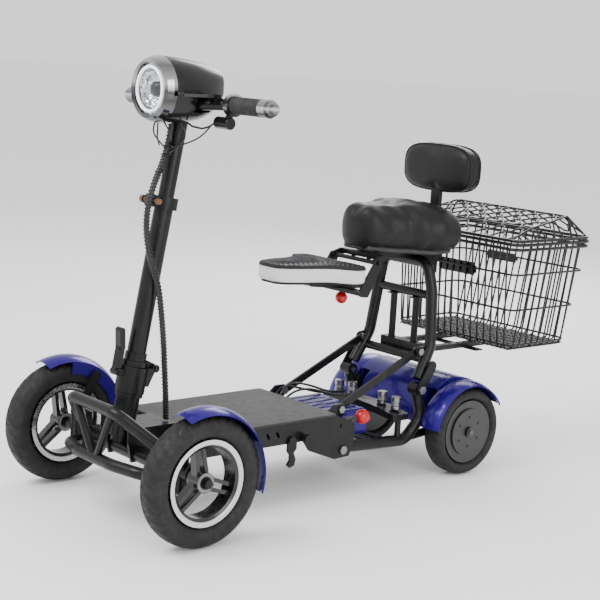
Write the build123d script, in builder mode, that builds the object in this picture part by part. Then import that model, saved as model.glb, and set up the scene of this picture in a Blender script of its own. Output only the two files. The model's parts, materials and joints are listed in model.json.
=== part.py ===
"""Folding four-wheel mobility scooter with a saddle, a child seat and a lidded basket.

+X is forward, +Y is left and +Z is up, in millimetres. The origin is on the floor, under the middle
of the machine's length and width.
"""
import os
from math import atan2, cos, degrees, hypot, radians, sin

from build123d import *

os.makedirs("parts", exist_ok=True)

SIDES = (("left", 1), ("right", -1))

# ---- driving dimensions ------------------------------------------------------------------------
HALF_LENGTH = 647.0         # front tyre's foremost point to the middle
FRONT_TYRE_R = 127.5        # 10 inch pneumatic tyre
FRONT_TYRE_W = 54.0
FRONT_RIM_R = 84.0
FRONT_WHEEL_Y = 248.0
REAR_TYRE_R = 100.0         # 8 inch solid tyre on a hub motor
REAR_TYRE_W = 52.0
REAR_RIM_R = 72.0
REAR_WHEEL_Y = 155.0
REAR_AXLE_X = -288.0
DECK_REAR, DECK_FRONT = 76.0, 432.0
DECK_HALF_W = 132.0
DECK_TOP = 175.0
SHEET = 3.0                 # pressed steel thickness
HEAD_FOOT_X = 563.0         # where the steering axis meets the floor
HEAD_RAKE = 10.15           # its lean to the rear, degrees
STEM_R = 19.0
STEM_WALL = 3.0
GAP = 0.05                  # radial running clearance
BAR_Z = 817.0
BAR_X = 384.0
BAR_R = 11.0
KINGPIN_Y = 188.0
STEER_ARM = 50.0
FRAME_R = 13.0              # main frame tube
FRAME_WALL = 2.5
RIM_Z = 529.0               # basket rim

# ---- derived places ----------------------------------------------------------------------------
FRONT_AXLE_X = HALF_LENGTH - FRONT_TYRE_R
FRONT_AXLE_Z = FRONT_TYRE_R
REAR_AXLE_Z = REAR_TYRE_R
HEAD = Plane(
    origin=(HEAD_FOOT_X, 0, 0),
    x_dir=(cos(radians(HEAD_RAKE)), 0, sin(radians(HEAD_RAKE))),
    z_dir=(-sin(radians(HEAD_RAKE)), 0, cos(radians(HEAD_RAKE))),
)
TIE_ROD_X = FRONT_AXLE_X - STEER_ARM
TIE_ROD_Z = 112.0
COLUMN_FOOT = 150.0         # along the steering axis
PITMAN_X = HEAD_FOOT_X - COLUMN_FOOT * sin(radians(HEAD_RAKE))
PITMAN_ARM = 44.0           # puts its pin as far from the axis as the steering arms reach

# The deck, the rear frame, the brace bars and the seat frame are a parallelogram, so that the seat
# stays level while the rear wheels tuck in. Pivots as (x, z).
DECK_PIVOT = (56.0, 94.0)
BRACE_FOOT = (39.0, 174.0)
SEAT_PIVOT = (-176.0, 199.0)
BRACE_HEAD = (
    SEAT_PIVOT[0] + BRACE_FOOT[0] - DECK_PIVOT[0],
    SEAT_PIVOT[1] + BRACE_FOOT[1] - DECK_PIVOT[1],
)
FRAME_Y = 112.0             # rear frame tubes
BRACE_Y = (88.0, 94.0)      # brace bars' inner and outer faces
RELEASE_PIVOT = (66.0, 148.0)
CHILD_PIVOT = (-70.0, 482.0)
PIVOT_R = 6.0
SMALL_PIVOT_R = 5.0

# Heights along the steering axis.
HEAD_TUBE = (160.0, 240.0)
COLLAR = (248.0, 300.0)
STEM_FOOT = 301.5
STEM_TOP = 636.0
UPPER_FOOT, UPPER_TOP = 480.0, 806.0
CLAMP = (616.0, 640.0)
FOLD_LOCAL = (-39.5, 0, STEM_FOOT)
LEVER_LOCAL = (40.0, 0, 286.0)
FOLD_AXIS = HEAD.from_local_coords(FOLD_LOCAL)
LEVER_AXIS = HEAD.from_local_coords(LEVER_LOCAL)
CLAMP_SCREW = HEAD.from_local_coords((30.0, 0, sum(CLAMP) / 2))

LAMP_X, LAMP_Z = 503.6, 838.7
LAMP_R = 56.0
BEZEL_R = 65.0
BEZEL_REAR = 478.5


# ---- shape helpers -----------------------------------------------------------------------------
def block(x, y, z, mode=Mode.ADD):
    """A box between the pairs of coordinates x, y and z."""
    with Locations(((x[0] + x[1]) / 2, (y[0] + y[1]) / 2, (z[0] + z[1]) / 2)):
        Box(abs(x[1] - x[0]), abs(y[1] - y[0]), abs(z[1] - z[0]), mode=mode)


def rod(points, radius, bends=None, wall=0.0, mode=Mode.ADD):
    """A round bar or tube along straight runs joined by arcs of the radii in bends."""
    with BuildLine() as route:
        if len(points) == 2:
            Line(*points)
        else:
            FilletPolyline(*points, radius=bends)
    with BuildSketch(Plane(route.line @ 0, z_dir=route.line % 0)) as section:
        Circle(radius)
        if wall:
            Circle(radius - wall, mode=Mode.SUBTRACT)
    sweep(sections=section.sketch, path=route.line, mode=mode)


def disc(x, z, radius, y, mode=Mode.ADD, hexagon=False):
    """A round or hexagonal bar across the machine, between the pair of coordinates y."""
    low, high = min(y), max(y)
    with BuildSketch(Plane.XZ.offset(-high)) as face:
        with Locations((x, z)):
            if hexagon:
                RegularPolygon(radius, 6)
            else:
                Circle(radius)
    extrude(face.sketch, amount=high - low, mode=mode)


def plate(points, y, corner=0.0, mode=Mode.ADD):
    """A plate of the (x, z) outline, between the pair of coordinates y."""
    low, high = min(y), max(y)
    with BuildSketch(Plane.XZ.offset(-high)) as face:
        with BuildLine():
            Polyline(*points, close=True)
        make_face()
        if corner:
            fillet(face.vertices(), corner)
    extrude(face.sketch, amount=high - low, mode=mode)


def link(start, end, half_width, y, mode=Mode.ADD):
    """A flat bar with round ends between two (x, z) points, between the pair of coordinates y."""
    low, high = min(y), max(y)
    run = hypot(end[0] - start[0], end[1] - start[1])
    middle = Location(
        ((start[0] + end[0]) / 2, (start[1] + end[1]) / 2, 0),
        (0, 0, degrees(atan2(end[1] - start[1], end[0] - start[0]))),
    )
    with BuildSketch(Plane.XZ.offset(-high)) as face:
        with Locations(middle):
            SlotCenterToCenter(run, 2 * half_width)
    extrude(face.sketch, amount=high - low, mode=mode)


def post(x, y, radius, z, mode=Mode.ADD):
    """A round bar upright, between the pair of coordinates z."""
    with BuildSketch(Plane.XY.offset(z[0])) as face:
        with Locations((x, y)):
            Circle(radius)
    extrude(face.sketch, amount=z[1] - z[0], mode=mode)


def on_head(radius, s, mode=Mode.ADD, place=(0, 0)):
    """A round bar along the steering axis, between the pair of heights s."""
    with BuildSketch(HEAD.offset(s[0])) as face:
        with Locations(place):
            Circle(radius)
    extrude(face.sketch, amount=s[1] - s[0], mode=mode)


def wheel_plane(x, y, z, angle=90.0):
    """A plane through a wheel's centre: x across the machine, y out along the spoke at the angle."""
    a = radians(angle)
    return Plane(origin=(x, y, z), x_dir=(0, 1, 0), z_dir=(sin(a), 0, -cos(a)))


def wheel_axis(x, y, z):
    return Axis((x, y, z), (0, -1, 0))


# ---- chassis -----------------------------------------------------------------------------------
with BuildPart() as deck_frame:
    inner_w = DECK_HALF_W - SHEET
    block((DECK_REAR, DECK_FRONT), (-DECK_HALF_W, DECK_HALF_W), (128, 171))
    block((DECK_REAR + SHEET, DECK_FRONT - SHEET), (-inner_w, inner_w), (131, 172), Mode.SUBTRACT)
    for side, s in SIDES:
        plate([(24, 110), (36, 78), (78, 76), (150, 104), (168, 128), (168, 150), (76, 171), (24, 150)],
              (s * (DECK_HALF_W - 5), s * DECK_HALF_W), corner=5)
        plate([(79, 140), (79, 164), (72, 174), (58, 186), (30, 186), (27, 166), (48, 144)],
              (s * (BRACE_Y[1] + 3), s * (BRACE_Y[1] + 8)), corner=4)
        disc(*DECK_PIVOT, PIVOT_R + GAP, (s * 120, s * 140), Mode.SUBTRACT)
        disc(*BRACE_FOOT, SMALL_PIVOT_R + GAP, (s * 96, s * 110), Mode.SUBTRACT)
        for x in (236, 262):
            link((x, 146), (x + 5, 154), 3, (s * 126, s * 134), Mode.SUBTRACT)
    plate([(190, 132), (214, 132), (214, 112), (207, 104), (207, 92), (214, 84), (207, 77), (194, 81),
           (191, 94), (197, 108), (190, 116)], (DECK_HALF_W, DECK_HALF_W + 5), corner=1.5)
    disc(202, 134, 9, (DECK_HALF_W, DECK_HALF_W + 6))
    disc(170, 136, 6, (DECK_HALF_W, DECK_HALF_W + 8))
    disc(170, 136, 10, (DECK_HALF_W + 8, DECK_HALF_W + 19))
    disc(*RELEASE_PIVOT, 4 + GAP, (120, 140), Mode.SUBTRACT)
deck_frame.part.label = "deck_frame"
export_step(deck_frame.part, "parts/deck_frame.step")

with BuildPart() as deck_plate:
    with BuildSketch(Plane.XY.offset(DECK_TOP - 4)):
        with Locations(((DECK_REAR + DECK_FRONT) / 2, 0)):
            RectangleRounded(DECK_FRONT - DECK_REAR, 2 * DECK_HALF_W, 8)
    extrude(amount=4)
    fillet(deck_plate.edges().group_by(Axis.Z)[-1], 1.5)
deck_plate.part.label = "deck_plate"
export_step(deck_plate.part, "parts/deck_plate.step")

with BuildPart() as battery_pack:
    block((96, 412), (-112, 112), (131.5, 166))
    fillet(battery_pack.edges().filter_by(Axis.X), 6)
battery_pack.part.label = "battery_pack"
export_step(battery_pack.part, "parts/battery_pack.step")

with BuildPart() as front_frame:
    on_head(24, HEAD_TUBE)
    on_head(28, (HEAD_TUBE[1], HEAD_TUBE[1] + 7))
    rod([(FRONT_AXLE_X, -158, FRONT_AXLE_Z), (FRONT_AXLE_X, 158, FRONT_AXLE_Z)], 16)
    block((DECK_FRONT + 0.3, 545), (-44, 44), (DECK_TOP + 0.5, DECK_TOP + 5))
    for side, s in SIDES:
        plate([(432.3, 124), (505, 124), (512, 112), (536, 112), (545, 150), (545, 178), (432.3, 178)],
              (s * 37, s * 43))
        plate([(507, 88), (532, 88), (532, 167), (507, 167)], (s * 150, s * 166), corner=3)
        for z in (88, 159):
            block((507, 532), (s * 150, s * KINGPIN_Y), (z, z + 8))
            post(FRONT_AXLE_X, s * KINGPIN_Y, 14, (z, z + 8))
        post(FRONT_AXLE_X, s * KINGPIN_Y, PIVOT_R + GAP, (80, 180), Mode.SUBTRACT)
    on_head(STEM_R + GAP, (HEAD_TUBE[0] - 10, HEAD_TUBE[1] + 10), Mode.SUBTRACT)
front_frame.part.label = "front_frame"
export_step(front_frame.part, "parts/front_frame.step")

GUARD_TOP = (600.0, 79.0, 227.0)
GUARD_BOTTOM = (594.0, 62.0, 120.0)
with BuildPart() as front_guard:
    gx, gy, gz = GUARD_TOP
    rod([(525, 158, 152), (gx, gy, gz), (gx, -gy, gz), (525, -158, 152)], 12, bends=(34, 34))
    bx, by, bz = GUARD_BOTTOM
    rod([(525, 160, 106), (574, 128, 117), (bx, by, bz), (bx, -by, bz), (574, -128, 117),
         (525, -160, 106)], 12, bends=(45, 70, 70, 45))
    for side, s in SIDES:
        rod([(gx, s * 62, gz - 6), (bx, s * 8, bz + 4)], 8)
        block((490, 536), (s * 130, s * 190), (80, 190), Mode.SUBTRACT)
front_guard.part.label = "front_guard"
export_step(front_guard.part, "parts/front_guard.step")

with BuildPart() as pivot_bolts:
    for side, s in SIDES:
        disc(*DECK_PIVOT, PIVOT_R, (s * 98, s * 133))
        disc(*DECK_PIVOT, 10, (s * 132.2, s * 137), hexagon=True)
        disc(*BRACE_FOOT, SMALL_PIVOT_R, (s * 86, s * 103))
        disc(*BRACE_FOOT, 8.5, (s * 84, s * 87.5), hexagon=True)
        disc(*BRACE_FOOT, 8.5, (s * 102.2, s * 106), hexagon=True)
        post(FRONT_AXLE_X, s * KINGPIN_Y, PIVOT_R, (86, 169))
        post(FRONT_AXLE_X, s * KINGPIN_Y, 10, (167.2, 173))
pivot_bolts.part.label = "pivot_bolts"
export_step(pivot_bolts.part, "parts/pivot_bolts.step")

# ---- steering and stem -------------------------------------------------------------------------
with BuildPart() as steering_column:
    on_head(STEM_R, (COLUMN_FOOT, COLLAR[1]))
    on_head(30, COLLAR)
    for side, s in SIDES:
        with BuildSketch(Plane.XZ.offset(-max(s * 14, s * 22))) as ear:
            with BuildLine():
                a = HEAD.from_local_coords((-14, 0, COLLAR[0] + 16))
                b = HEAD.from_local_coords((-14, 0, COLLAR[1]))
                c = HEAD.from_local_coords((-28, 0, COLLAR[0] + 16))
                Polyline((a.X, a.Z), (b.X, b.Z), (FOLD_AXIS.X, FOLD_AXIS.Z), (c.X, c.Z), close=True)
            make_face()
            with Locations((FOLD_AXIS.X, FOLD_AXIS.Z)):
                Circle(8)
        extrude(ear.sketch, amount=8)
        link((LEVER_AXIS.X - 19, LEVER_AXIS.Z - 3), (LEVER_AXIS.X, LEVER_AXIS.Z), 7, (s * 7.5, s * 11.5))
    disc(FOLD_AXIS.X, FOLD_AXIS.Z, SMALL_PIVOT_R, (-24, 24))
    disc(LEVER_AXIS.X, LEVER_AXIS.Z, 3.5, (-12.5, 12.5))
    with BuildSketch(Plane.XY.offset(145)) as arm:
        with Locations((PITMAN_X - PITMAN_ARM / 2, 0)):
            SlotCenterToCenter(PITMAN_ARM, 20)
    extrude(arm.sketch, amount=5.5)
    post(PITMAN_X, 0, 14, (145, 152))
    post(PITMAN_X - PITMAN_ARM, 0, 4, (104, 147))
steering_column.part.label = "steering_column"
export_step(steering_column.part, "parts/steering_column.step")

with BuildPart() as stem_lower:
    on_head(26, (STEM_FOOT, STEM_FOOT + 10))
    on_head(22, (STEM_FOOT + 10, STEM_FOOT + 26))
    on_head(STEM_R, (STEM_FOOT, STEM_TOP))
    root = HEAD.from_local_coords((-16, 0, STEM_FOOT + 7))
    link((FOLD_AXIS.X, FOLD_AXIS.Z), (root.X, root.Z), 8, (-13.5, 13.5))
    on_head(33, (COLLAR[0], STEM_FOOT), Mode.SUBTRACT)
    on_head(STEM_R - STEM_WALL, (STEM_FOOT + 20, STEM_TOP + 1), Mode.SUBTRACT)
    disc(FOLD_AXIS.X, FOLD_AXIS.Z, SMALL_PIVOT_R + GAP, (-30, 30), Mode.SUBTRACT)
stem_lower.part.label = "stem_lower"
export_step(stem_lower.part, "parts/stem_lower.step")

with BuildPart() as stem_fold_lever:
    lx, lz = LEVER_AXIS.X, LEVER_AXIS.Z
    link((lx, lz), (lx - 8.6, lz + 48), 7, (-7, 7))
    link((lx - 8.6, lz + 48), (lx - 7, lz + 82), 6, (-9, 9))
    disc(lx, lz, 3.5 + GAP, (-10, 10), Mode.SUBTRACT)
stem_fold_lever.part.label = "stem_fold_lever"
export_step(stem_fold_lever.part, "parts/stem_fold_lever.step")

with BuildPart() as height_clamp:
    on_head(26, CLAMP)
    with BuildSketch(HEAD.offset(CLAMP[0])) as ears:
        with Locations((28, 0)):
            Rectangle(24, 22)
    extrude(ears.sketch, amount=CLAMP[1] - CLAMP[0])
    with BuildSketch(HEAD.offset(CLAMP[0])) as split:
        with Locations((30, 0)):
            Rectangle(30, 4)
    extrude(split.sketch, amount=CLAMP[1] - CLAMP[0], mode=Mode.SUBTRACT)
    on_head(STEM_R, (CLAMP[0], STEM_TOP), Mode.SUBTRACT)
    on_head(STEM_R - STEM_WALL, (STEM_TOP, CLAMP[1]), Mode.SUBTRACT)
    disc(CLAMP_SCREW.X, CLAMP_SCREW.Z, 4 + GAP, (-20, 20), Mode.SUBTRACT)
height_clamp.part.label = "height_clamp"
export_step(height_clamp.part, "parts/height_clamp.step")

with BuildPart() as clamp_knob:
    cx, cz = CLAMP_SCREW.X, CLAMP_SCREW.Z
    disc(cx, cz, 4, (-30, 20))
    disc(cx, cz, 8, (-36, -25))
    disc(cx, cz, 6, (-23, -13.5))
    disc(cx, cz, 6.5, (13.5, 26))
    fillet(clamp_knob.edges().group_by(Axis.Y)[0], 2)
    fillet(clamp_knob.edges().group_by(Axis.Y)[-1], 2)
clamp_knob.part.label = "clamp_knob"
export_step(clamp_knob.part, "parts/clamp_knob.step")

# The loom hangs in a long bow in front of the stem, crosses its left side and ends at the deck.
HARNESS_ROUTE = [
    (449, 7, 773), (453, 9, 750), (468, 13, 702), (505, 28, 646), (517, 30, 588), (508, 30, 527),
    (483, 33, 464), (471, 31, 403), (462, 30, 342), (455, 28, 280), (444, 21, 216), (439, 16, 183),
]
with BuildPart() as cable_harness:
    turns = []
    for before, here, after in zip(HARNESS_ROUTE, HARNESS_ROUTE[1:], HARNESS_ROUTE[2:]):
        arrive = Vector(*here) - Vector(*before)
        leave = Vector(*after) - Vector(*here)
        turn = radians(arrive.get_angle(leave))
        turns.append(0.45 * min(arrive.length, leave.length) / (sin(turn / 2) / cos(turn / 2)))
    rod(HARNESS_ROUTE, 7, bends=turns)
    print("cable_harness bend radii, mm:", [round(turn_radius) for turn_radius in turns])
cable_harness.part.label = "cable_harness"
export_step(cable_harness.part, "parts/cable_harness.step")

# ---- handlebar and head ------------------------------------------------------------------------
with BuildPart() as stem_upper:
    on_head(STEM_R - STEM_WALL - GAP, (UPPER_FOOT, UPPER_TOP))
    on_head(STEM_R - STEM_WALL - 3, (UPPER_FOOT, UPPER_TOP), Mode.SUBTRACT)
stem_upper.part.label = "stem_upper"
export_step(stem_upper.part, "parts/stem_upper.step")

GRIP = (123.0, 207.0)
BAR_TIP = 236.0
BRAKE_PIVOT = (402.0, 84.0)
with BuildPart() as handlebar:
    rod([(BAR_X, -BAR_TIP, BAR_Z), (BAR_X, -98, BAR_Z), (413, -44, 813), (413, 44, 813),
         (BAR_X, 98, BAR_Z), (BAR_X, BAR_TIP, BAR_Z)], BAR_R, bends=(30, 30, 30, 30))
    on_head(20, (UPPER_TOP + 0.1, 846))
    block((392, 410), (75, 93), (816, 828.5))
    post(*BRAKE_PIVOT, 3, (828, 836.5))
handlebar.part.label = "handlebar"
export_step(handlebar.part, "parts/handlebar.step")


# The lamp housing's cross-sections from the bezel to the rear: x, middle z, width, height, corner.
POD_SECTIONS = ((BEZEL_REAR, LAMP_Z, 130, 130, 64), (440, 838, 134, 124, 58), (392, 838, 118, 110, 48),
                (352, 846, 84, 72, 30))


with BuildPart() as headlight_shell:
    for shrink, mode in ((0, Mode.ADD), (3, Mode.SUBTRACT)):
        faces = []
        for x, z, width, height, corner in POD_SECTIONS:
            inset = shrink if x == POD_SECTIONS[-1][0] else 0
            with BuildSketch(Plane(origin=(x + inset, 0, z), x_dir=(0, 1, 0), z_dir=(1, 0, 0))) as outline:
                RectangleRounded(width - 2 * shrink, height - 2 * shrink, corner - shrink)
            faces.append(outline.sketch)
        loft(sections=faces, mode=mode)
    for side, s in SIDES:
        block((386, 432), (s * 30, s * 80), (BAR_Z - 19, BAR_Z + 11), Mode.SUBTRACT)
    on_head(22, (770, 850), Mode.SUBTRACT)
headlight_shell.part.label = "headlight_shell"
export_step(headlight_shell.part, "parts/headlight_shell.step")


def lamp_ring(points, name):
    """A ring turned about the lamp's axis from (x, radius) points."""
    with BuildPart() as ring:
        with BuildSketch(Plane(origin=(0, 0, LAMP_Z), x_dir=(1, 0, 0), z_dir=(0, -1, 0))):
            with BuildLine():
                Polyline(*points, close=True)
            make_face()
        revolve(axis=Axis((0, 0, LAMP_Z), (1, 0, 0)))
    ring.part.label = name
    export_step(ring.part, f"parts/{name}.step")


lamp_ring([(BEZEL_REAR + 0.1, BEZEL_R), (486, 64.5), (498, 60), (LAMP_X, LAMP_R), (LAMP_X - 2, LAMP_R - 5),
           (494, 50), (490, 52), (BEZEL_REAR + 0.1, 59)], "headlight_bezel")
lamp_ring([(492, 0.5), (492, 49.8), (494, 49.8), (498, 30), (499, 0.5)], "headlight_lens")
lamp_ring([(490.5, 51.5), (490.5, 44), (476, 34), (460, 14), (457, 0.5), (454, 0.5), (456, 16),
           (472, 38), (484, 48), (484, 51.5)], "headlight_reflector")

with BuildPart() as dash_display:
    with BuildSketch(Plane(origin=(351.7, 0, 850), x_dir=(0, 1, 0), z_dir=(-1, 0, 0))):
        RectangleRounded(58, 46, 10)
    extrude(amount=5)
dash_display.part.label = "dash_display"
export_step(dash_display.part, "parts/dash_display.step")

with BuildPart() as grip_left:
    disc(BAR_X, BAR_Z, 17.5, GRIP)
    fillet(grip_left.edges().filter_by(GeomType.CIRCLE), 2)
    disc(BAR_X, BAR_Z, BAR_R, GRIP, Mode.SUBTRACT)
grip_left.part.label = "grip_left"
export_step(grip_left.part, "parts/grip_left.step")

with BuildPart() as throttle_grip:
    disc(BAR_X, BAR_Z, 17.5, (-GRIP[0], -GRIP[1]))
    fillet(throttle_grip.edges().filter_by(GeomType.CIRCLE), 2)
    disc(BAR_X, BAR_Z, BAR_R + GAP, (-GRIP[0], -GRIP[1]), Mode.SUBTRACT)
throttle_grip.part.label = "throttle_grip"
export_step(throttle_grip.part, "parts/throttle_grip.step")

with BuildPart() as grip_trims:
    for side, s in SIDES:
        disc(BAR_X, BAR_Z, 19, (s * 106.5, s * 110))
        disc(BAR_X, BAR_Z, 22, (s * 110, s * (GRIP[0] - 0.5)))
        disc(BAR_X, BAR_Z, 17.5, (s * (GRIP[1] + 0.5), s * 228))
        disc(BAR_X, BAR_Z, 13.5, (s * 228, s * 238))
        disc(BAR_X, BAR_Z, 9, (s * 238, s * 245))
    disc(BAR_X, BAR_Z, BAR_R, (-BAR_TIP, BAR_TIP), Mode.SUBTRACT)
grip_trims.part.label = "grip_trims"
export_step(grip_trims.part, "parts/grip_trims.step")

SWITCH = (392.0, 782.0)
with BuildPart() as switch_pod:
    disc(*SWITCH, 12, (80, 122))
    fillet(switch_pod.edges().filter_by(GeomType.CIRCLE), 2)
    block((386, 398), (111, 119), (788, 797.5))
    disc(*SWITCH, 5.3, (79, 89), Mode.SUBTRACT)
    disc(BAR_X, BAR_Z, 22, (105, 122), Mode.SUBTRACT)
switch_pod.part.label = "switch_pod"
export_step(switch_pod.part, "parts/switch_pod.step")

with BuildPart() as switch_button:
    disc(*SWITCH, 5, (75, 84))
    fillet(switch_button.edges().group_by(Axis.Y)[0], 1)
switch_button.part.label = "switch_button"
export_step(switch_button.part, "parts/switch_button.step")

with BuildPart() as control_cables:
    rod([(430, 32, 778), (426, 44, 771), (414, 60, 768), (404, 70, 773), (399, 78, 780)], 2,
        bends=(12, 12, 9))
    rod([(430, -32, 778), (424, -50, 770), (404, -72, 776), (390, -90, 795)], 2, bends=(14, 16))
control_cables.part.label = "control_cables"
export_step(control_cables.part, "parts/control_cables.step")

with BuildPart() as brake_lever:
    px, py = BRAKE_PIVOT
    with BuildSketch(Plane.XY.offset(829)) as blade:
        with BuildLine():
            Polyline((px - 8, py - 8), (px + 10, py - 10), (px + 74, py - 14), (px + 74, py - 6),
                     (px + 12, py + 8), (px - 8, py + 8), close=True)
        make_face()
        fillet(blade.vertices(), 3)
    extrude(blade.sketch, amount=6)
    with Locations((px + 76, py - 10, 832)):
        Sphere(6.5)
    post(px, py, 3 + GAP, (825, 840), Mode.SUBTRACT)
brake_lever.part.label = "brake_lever"
export_step(brake_lever.part, "parts/brake_lever.step")

# ---- front wheels ------------------------------------------------------------------------------
SPOKE_ANGLES = (80.0, 320.0, 200.0)
HUB_Y = (230.0, 264.0)
FENDER_R = 138.0
FENDER_ARC = (68.0, 196.0)

for side, s in SIDES:
    centre = (FRONT_AXLE_X, s * FRONT_WHEEL_Y, FRONT_AXLE_Z)

    with BuildPart() as knuckle:
        post(FRONT_AXLE_X, s * KINGPIN_Y, 13, (96.6, 158.4))
        disc(FRONT_AXLE_X, FRONT_AXLE_Z, 11, (s * (KINGPIN_Y + 8), s * 214))
        disc(FRONT_AXLE_X, FRONT_AXLE_Z, 8, (s * (KINGPIN_Y + 8), s * 270))
        disc(FRONT_AXLE_X, FRONT_AXLE_Z, 12, (s * (HUB_Y[1] + 0.5), s * (HUB_Y[1] + 2.5)))
        disc(FRONT_AXLE_X, FRONT_AXLE_Z, 9.5, (s * (HUB_Y[1] + 2.5), s * 275), hexagon=True)
        with BuildSketch(Plane.XY.offset(118)) as arm:
            with Locations((FRONT_AXLE_X - STEER_ARM / 2, s * KINGPIN_Y)):
                SlotCenterToCenter(STEER_ARM, 16)
        extrude(arm.sketch, amount=7)
        post(TIE_ROD_X, s * KINGPIN_Y, 4, (105, 120))
        link((FRONT_AXLE_X, FRONT_AXLE_Z), (FRONT_AXLE_X - 58, FRONT_AXLE_Z + 100), 10, (s * 207, s * 211))
        disc(FRONT_AXLE_X - 58, FRONT_AXLE_Z + 100, 6, (s * 210, s * 215.8))
        post(FRONT_AXLE_X, s * KINGPIN_Y, PIVOT_R + GAP, (90, 170), Mode.SUBTRACT)
    knuckle.part.label = f"knuckle_{side}"
    export_step(knuckle.part, f"parts/knuckle_{side}.step")

    with BuildPart() as front_fender:
        with BuildSketch(wheel_plane(*centre, FENDER_ARC[0])):
            with BuildLine():
                half = 31.0
                ThreePointArc((-half, FENDER_R - 6), (0, FENDER_R + 5), (half, FENDER_R - 6))
                Line((half, FENDER_R - 6), (half - 2.5, FENDER_R - 7.5))
                ThreePointArc((half - 2.5, FENDER_R - 7.5), (0, FENDER_R + 2.5), (2.5 - half, FENDER_R - 7.5))
                Line((2.5 - half, FENDER_R - 7.5), (-half, FENDER_R - 6))
            make_face()
        revolve(axis=wheel_axis(*centre), revolution_arc=FENDER_ARC[1] - FENDER_ARC[0])
        with BuildSketch(wheel_plane(*centre, 92)) as skirt:
            with Locations((-s * 30, 119)):
                Rectangle(2.4, 27)
        revolve(skirt.sketch, axis=wheel_axis(*centre), revolution_arc=72)
    front_fender.part.label = f"front_fender_{side}"
    export_step(front_fender.part, f"parts/front_fender_{side}.step")

    with BuildPart() as front_tyre:
        with BuildSketch(wheel_plane(*centre)):
            with BuildLine():
                half = FRONT_TYRE_W / 2
                Polyline((-19, FRONT_RIM_R), (19, FRONT_RIM_R), (half - 2, FRONT_RIM_R + 9))
                Spline((half - 2, FRONT_RIM_R + 9), (half, 107), (half - 6, 120), (0, FRONT_TYRE_R),
                       (6 - half, 120), (-half, 107), (2 - half, FRONT_RIM_R + 9))
                Line((2 - half, FRONT_RIM_R + 9), (-19, FRONT_RIM_R))
            make_face()
        revolve(axis=wheel_axis(*centre))
    front_tyre.part.label = f"front_tyre_{side}"
    export_step(front_tyre.part, f"parts/front_tyre_{side}.step")

    with BuildPart() as front_rim:
        with BuildSketch(wheel_plane(*centre)) as section:
            with BuildLine():
                Polyline((-22, FRONT_RIM_R - 0.2), (-22, 75), (-17, 68), (17, 68), (22, 75),
                         (22, FRONT_RIM_R - 0.2), close=True)
            make_face()
        revolve(section.sketch, axis=wheel_axis(*centre))
        disc(FRONT_AXLE_X, FRONT_AXLE_Z, 20, (s * HUB_Y[0], s * HUB_Y[1]))
        for angle in SPOKE_ANGLES:
            along = (cos(radians(angle)), sin(radians(angle)))
            for offset in (-10, 10):
                foot = (FRONT_AXLE_X + 12 * along[0] - offset * along[1],
                        FRONT_AXLE_Z + 12 * along[1] + offset * along[0])
                tip = (FRONT_AXLE_X + 69 * along[0] - offset * 0.8 * along[1],
                       FRONT_AXLE_Z + 69 * along[1] + offset * 0.8 * along[0])
                link(foot, tip, 4, (s * (FRONT_WHEEL_Y - 8), s * (FRONT_WHEEL_Y + 9)))
        disc(FRONT_AXLE_X, FRONT_AXLE_Z, 8 + GAP, (s * 220, s * 280), Mode.SUBTRACT)
    front_rim.part.label = f"front_rim_{side}"
    export_step(front_rim.part, f"parts/front_rim_{side}.step")

with BuildPart() as tie_rod:
    rod([(TIE_ROD_X, -KINGPIN_Y + 6, TIE_ROD_Z), (TIE_ROD_X, KINGPIN_Y - 6, TIE_ROD_Z)], 5)
    for side, s in SIDES:
        post(TIE_ROD_X, s * KINGPIN_Y, 9, (TIE_ROD_Z - 5.5, TIE_ROD_Z + 5.5))
        post(TIE_ROD_X, s * KINGPIN_Y, 4 + GAP, (100, 125), Mode.SUBTRACT)
    block((TIE_ROD_X - 4, PITMAN_X - PITMAN_ARM + 10), (-10, 10), (TIE_ROD_Z - 3, TIE_ROD_Z + 3))
    post(PITMAN_X - PITMAN_ARM, 0, 6.5, (100, 125), Mode.SUBTRACT)
tie_rod.part.label = "tie_rod"
export_step(tie_rod.part, "parts/tie_rod.step")

# ---- rear frame --------------------------------------------------------------------------------
with BuildPart() as rear_frame:
    for side, s in SIDES:
        y = s * FRAME_Y
        rod([(DECK_PIVOT[0], y, DECK_PIVOT[1]), (-150, y, 84), (-197, y, 132),
             (SEAT_PIVOT[0], y, SEAT_PIVOT[1])], FRAME_R, bends=(40, 40))
        disc(*SEAT_PIVOT, 14.5, (s * 98.5, s * 125.3))
        disc(*DECK_PIVOT, 15, (s * 98.5, s * 125.5))
        rod([(-138, y - s * 3, 86.5), (REAR_AXLE_X + 8, y - s * 5, REAR_AXLE_Z - 2)], 9.5)
        plate([(REAR_AXLE_X - 18, 84), (REAR_AXLE_X + 22, 84), (REAR_AXLE_X + 22, 112),
               (REAR_AXLE_X, 122), (REAR_AXLE_X - 18, 116)], (s * 115, s * 121), corner=4)
        disc(REAR_AXLE_X, REAR_AXLE_Z, 7, (s * 100, s * 172))
        disc(*SEAT_PIVOT, PIVOT_R + GAP, (s * 90, s * 130), Mode.SUBTRACT)
        disc(*DECK_PIVOT, PIVOT_R + GAP, (s * 90, s * 130), Mode.SUBTRACT)
        post(-126, y, 7, (90, 131.5))
    rod([(REAR_AXLE_X, -118, REAR_AXLE_Z), (REAR_AXLE_X, 118, REAR_AXLE_Z)], 12)
    rod([(-95, -FRAME_Y, 86), (-95, FRAME_Y, 86)], 9)
    rod([(10, -FRAME_Y, 92), (10, FRAME_Y, 92)], 9)
rear_frame.part.label = "rear_frame"
export_step(rear_frame.part, "parts/rear_frame.step")

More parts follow.
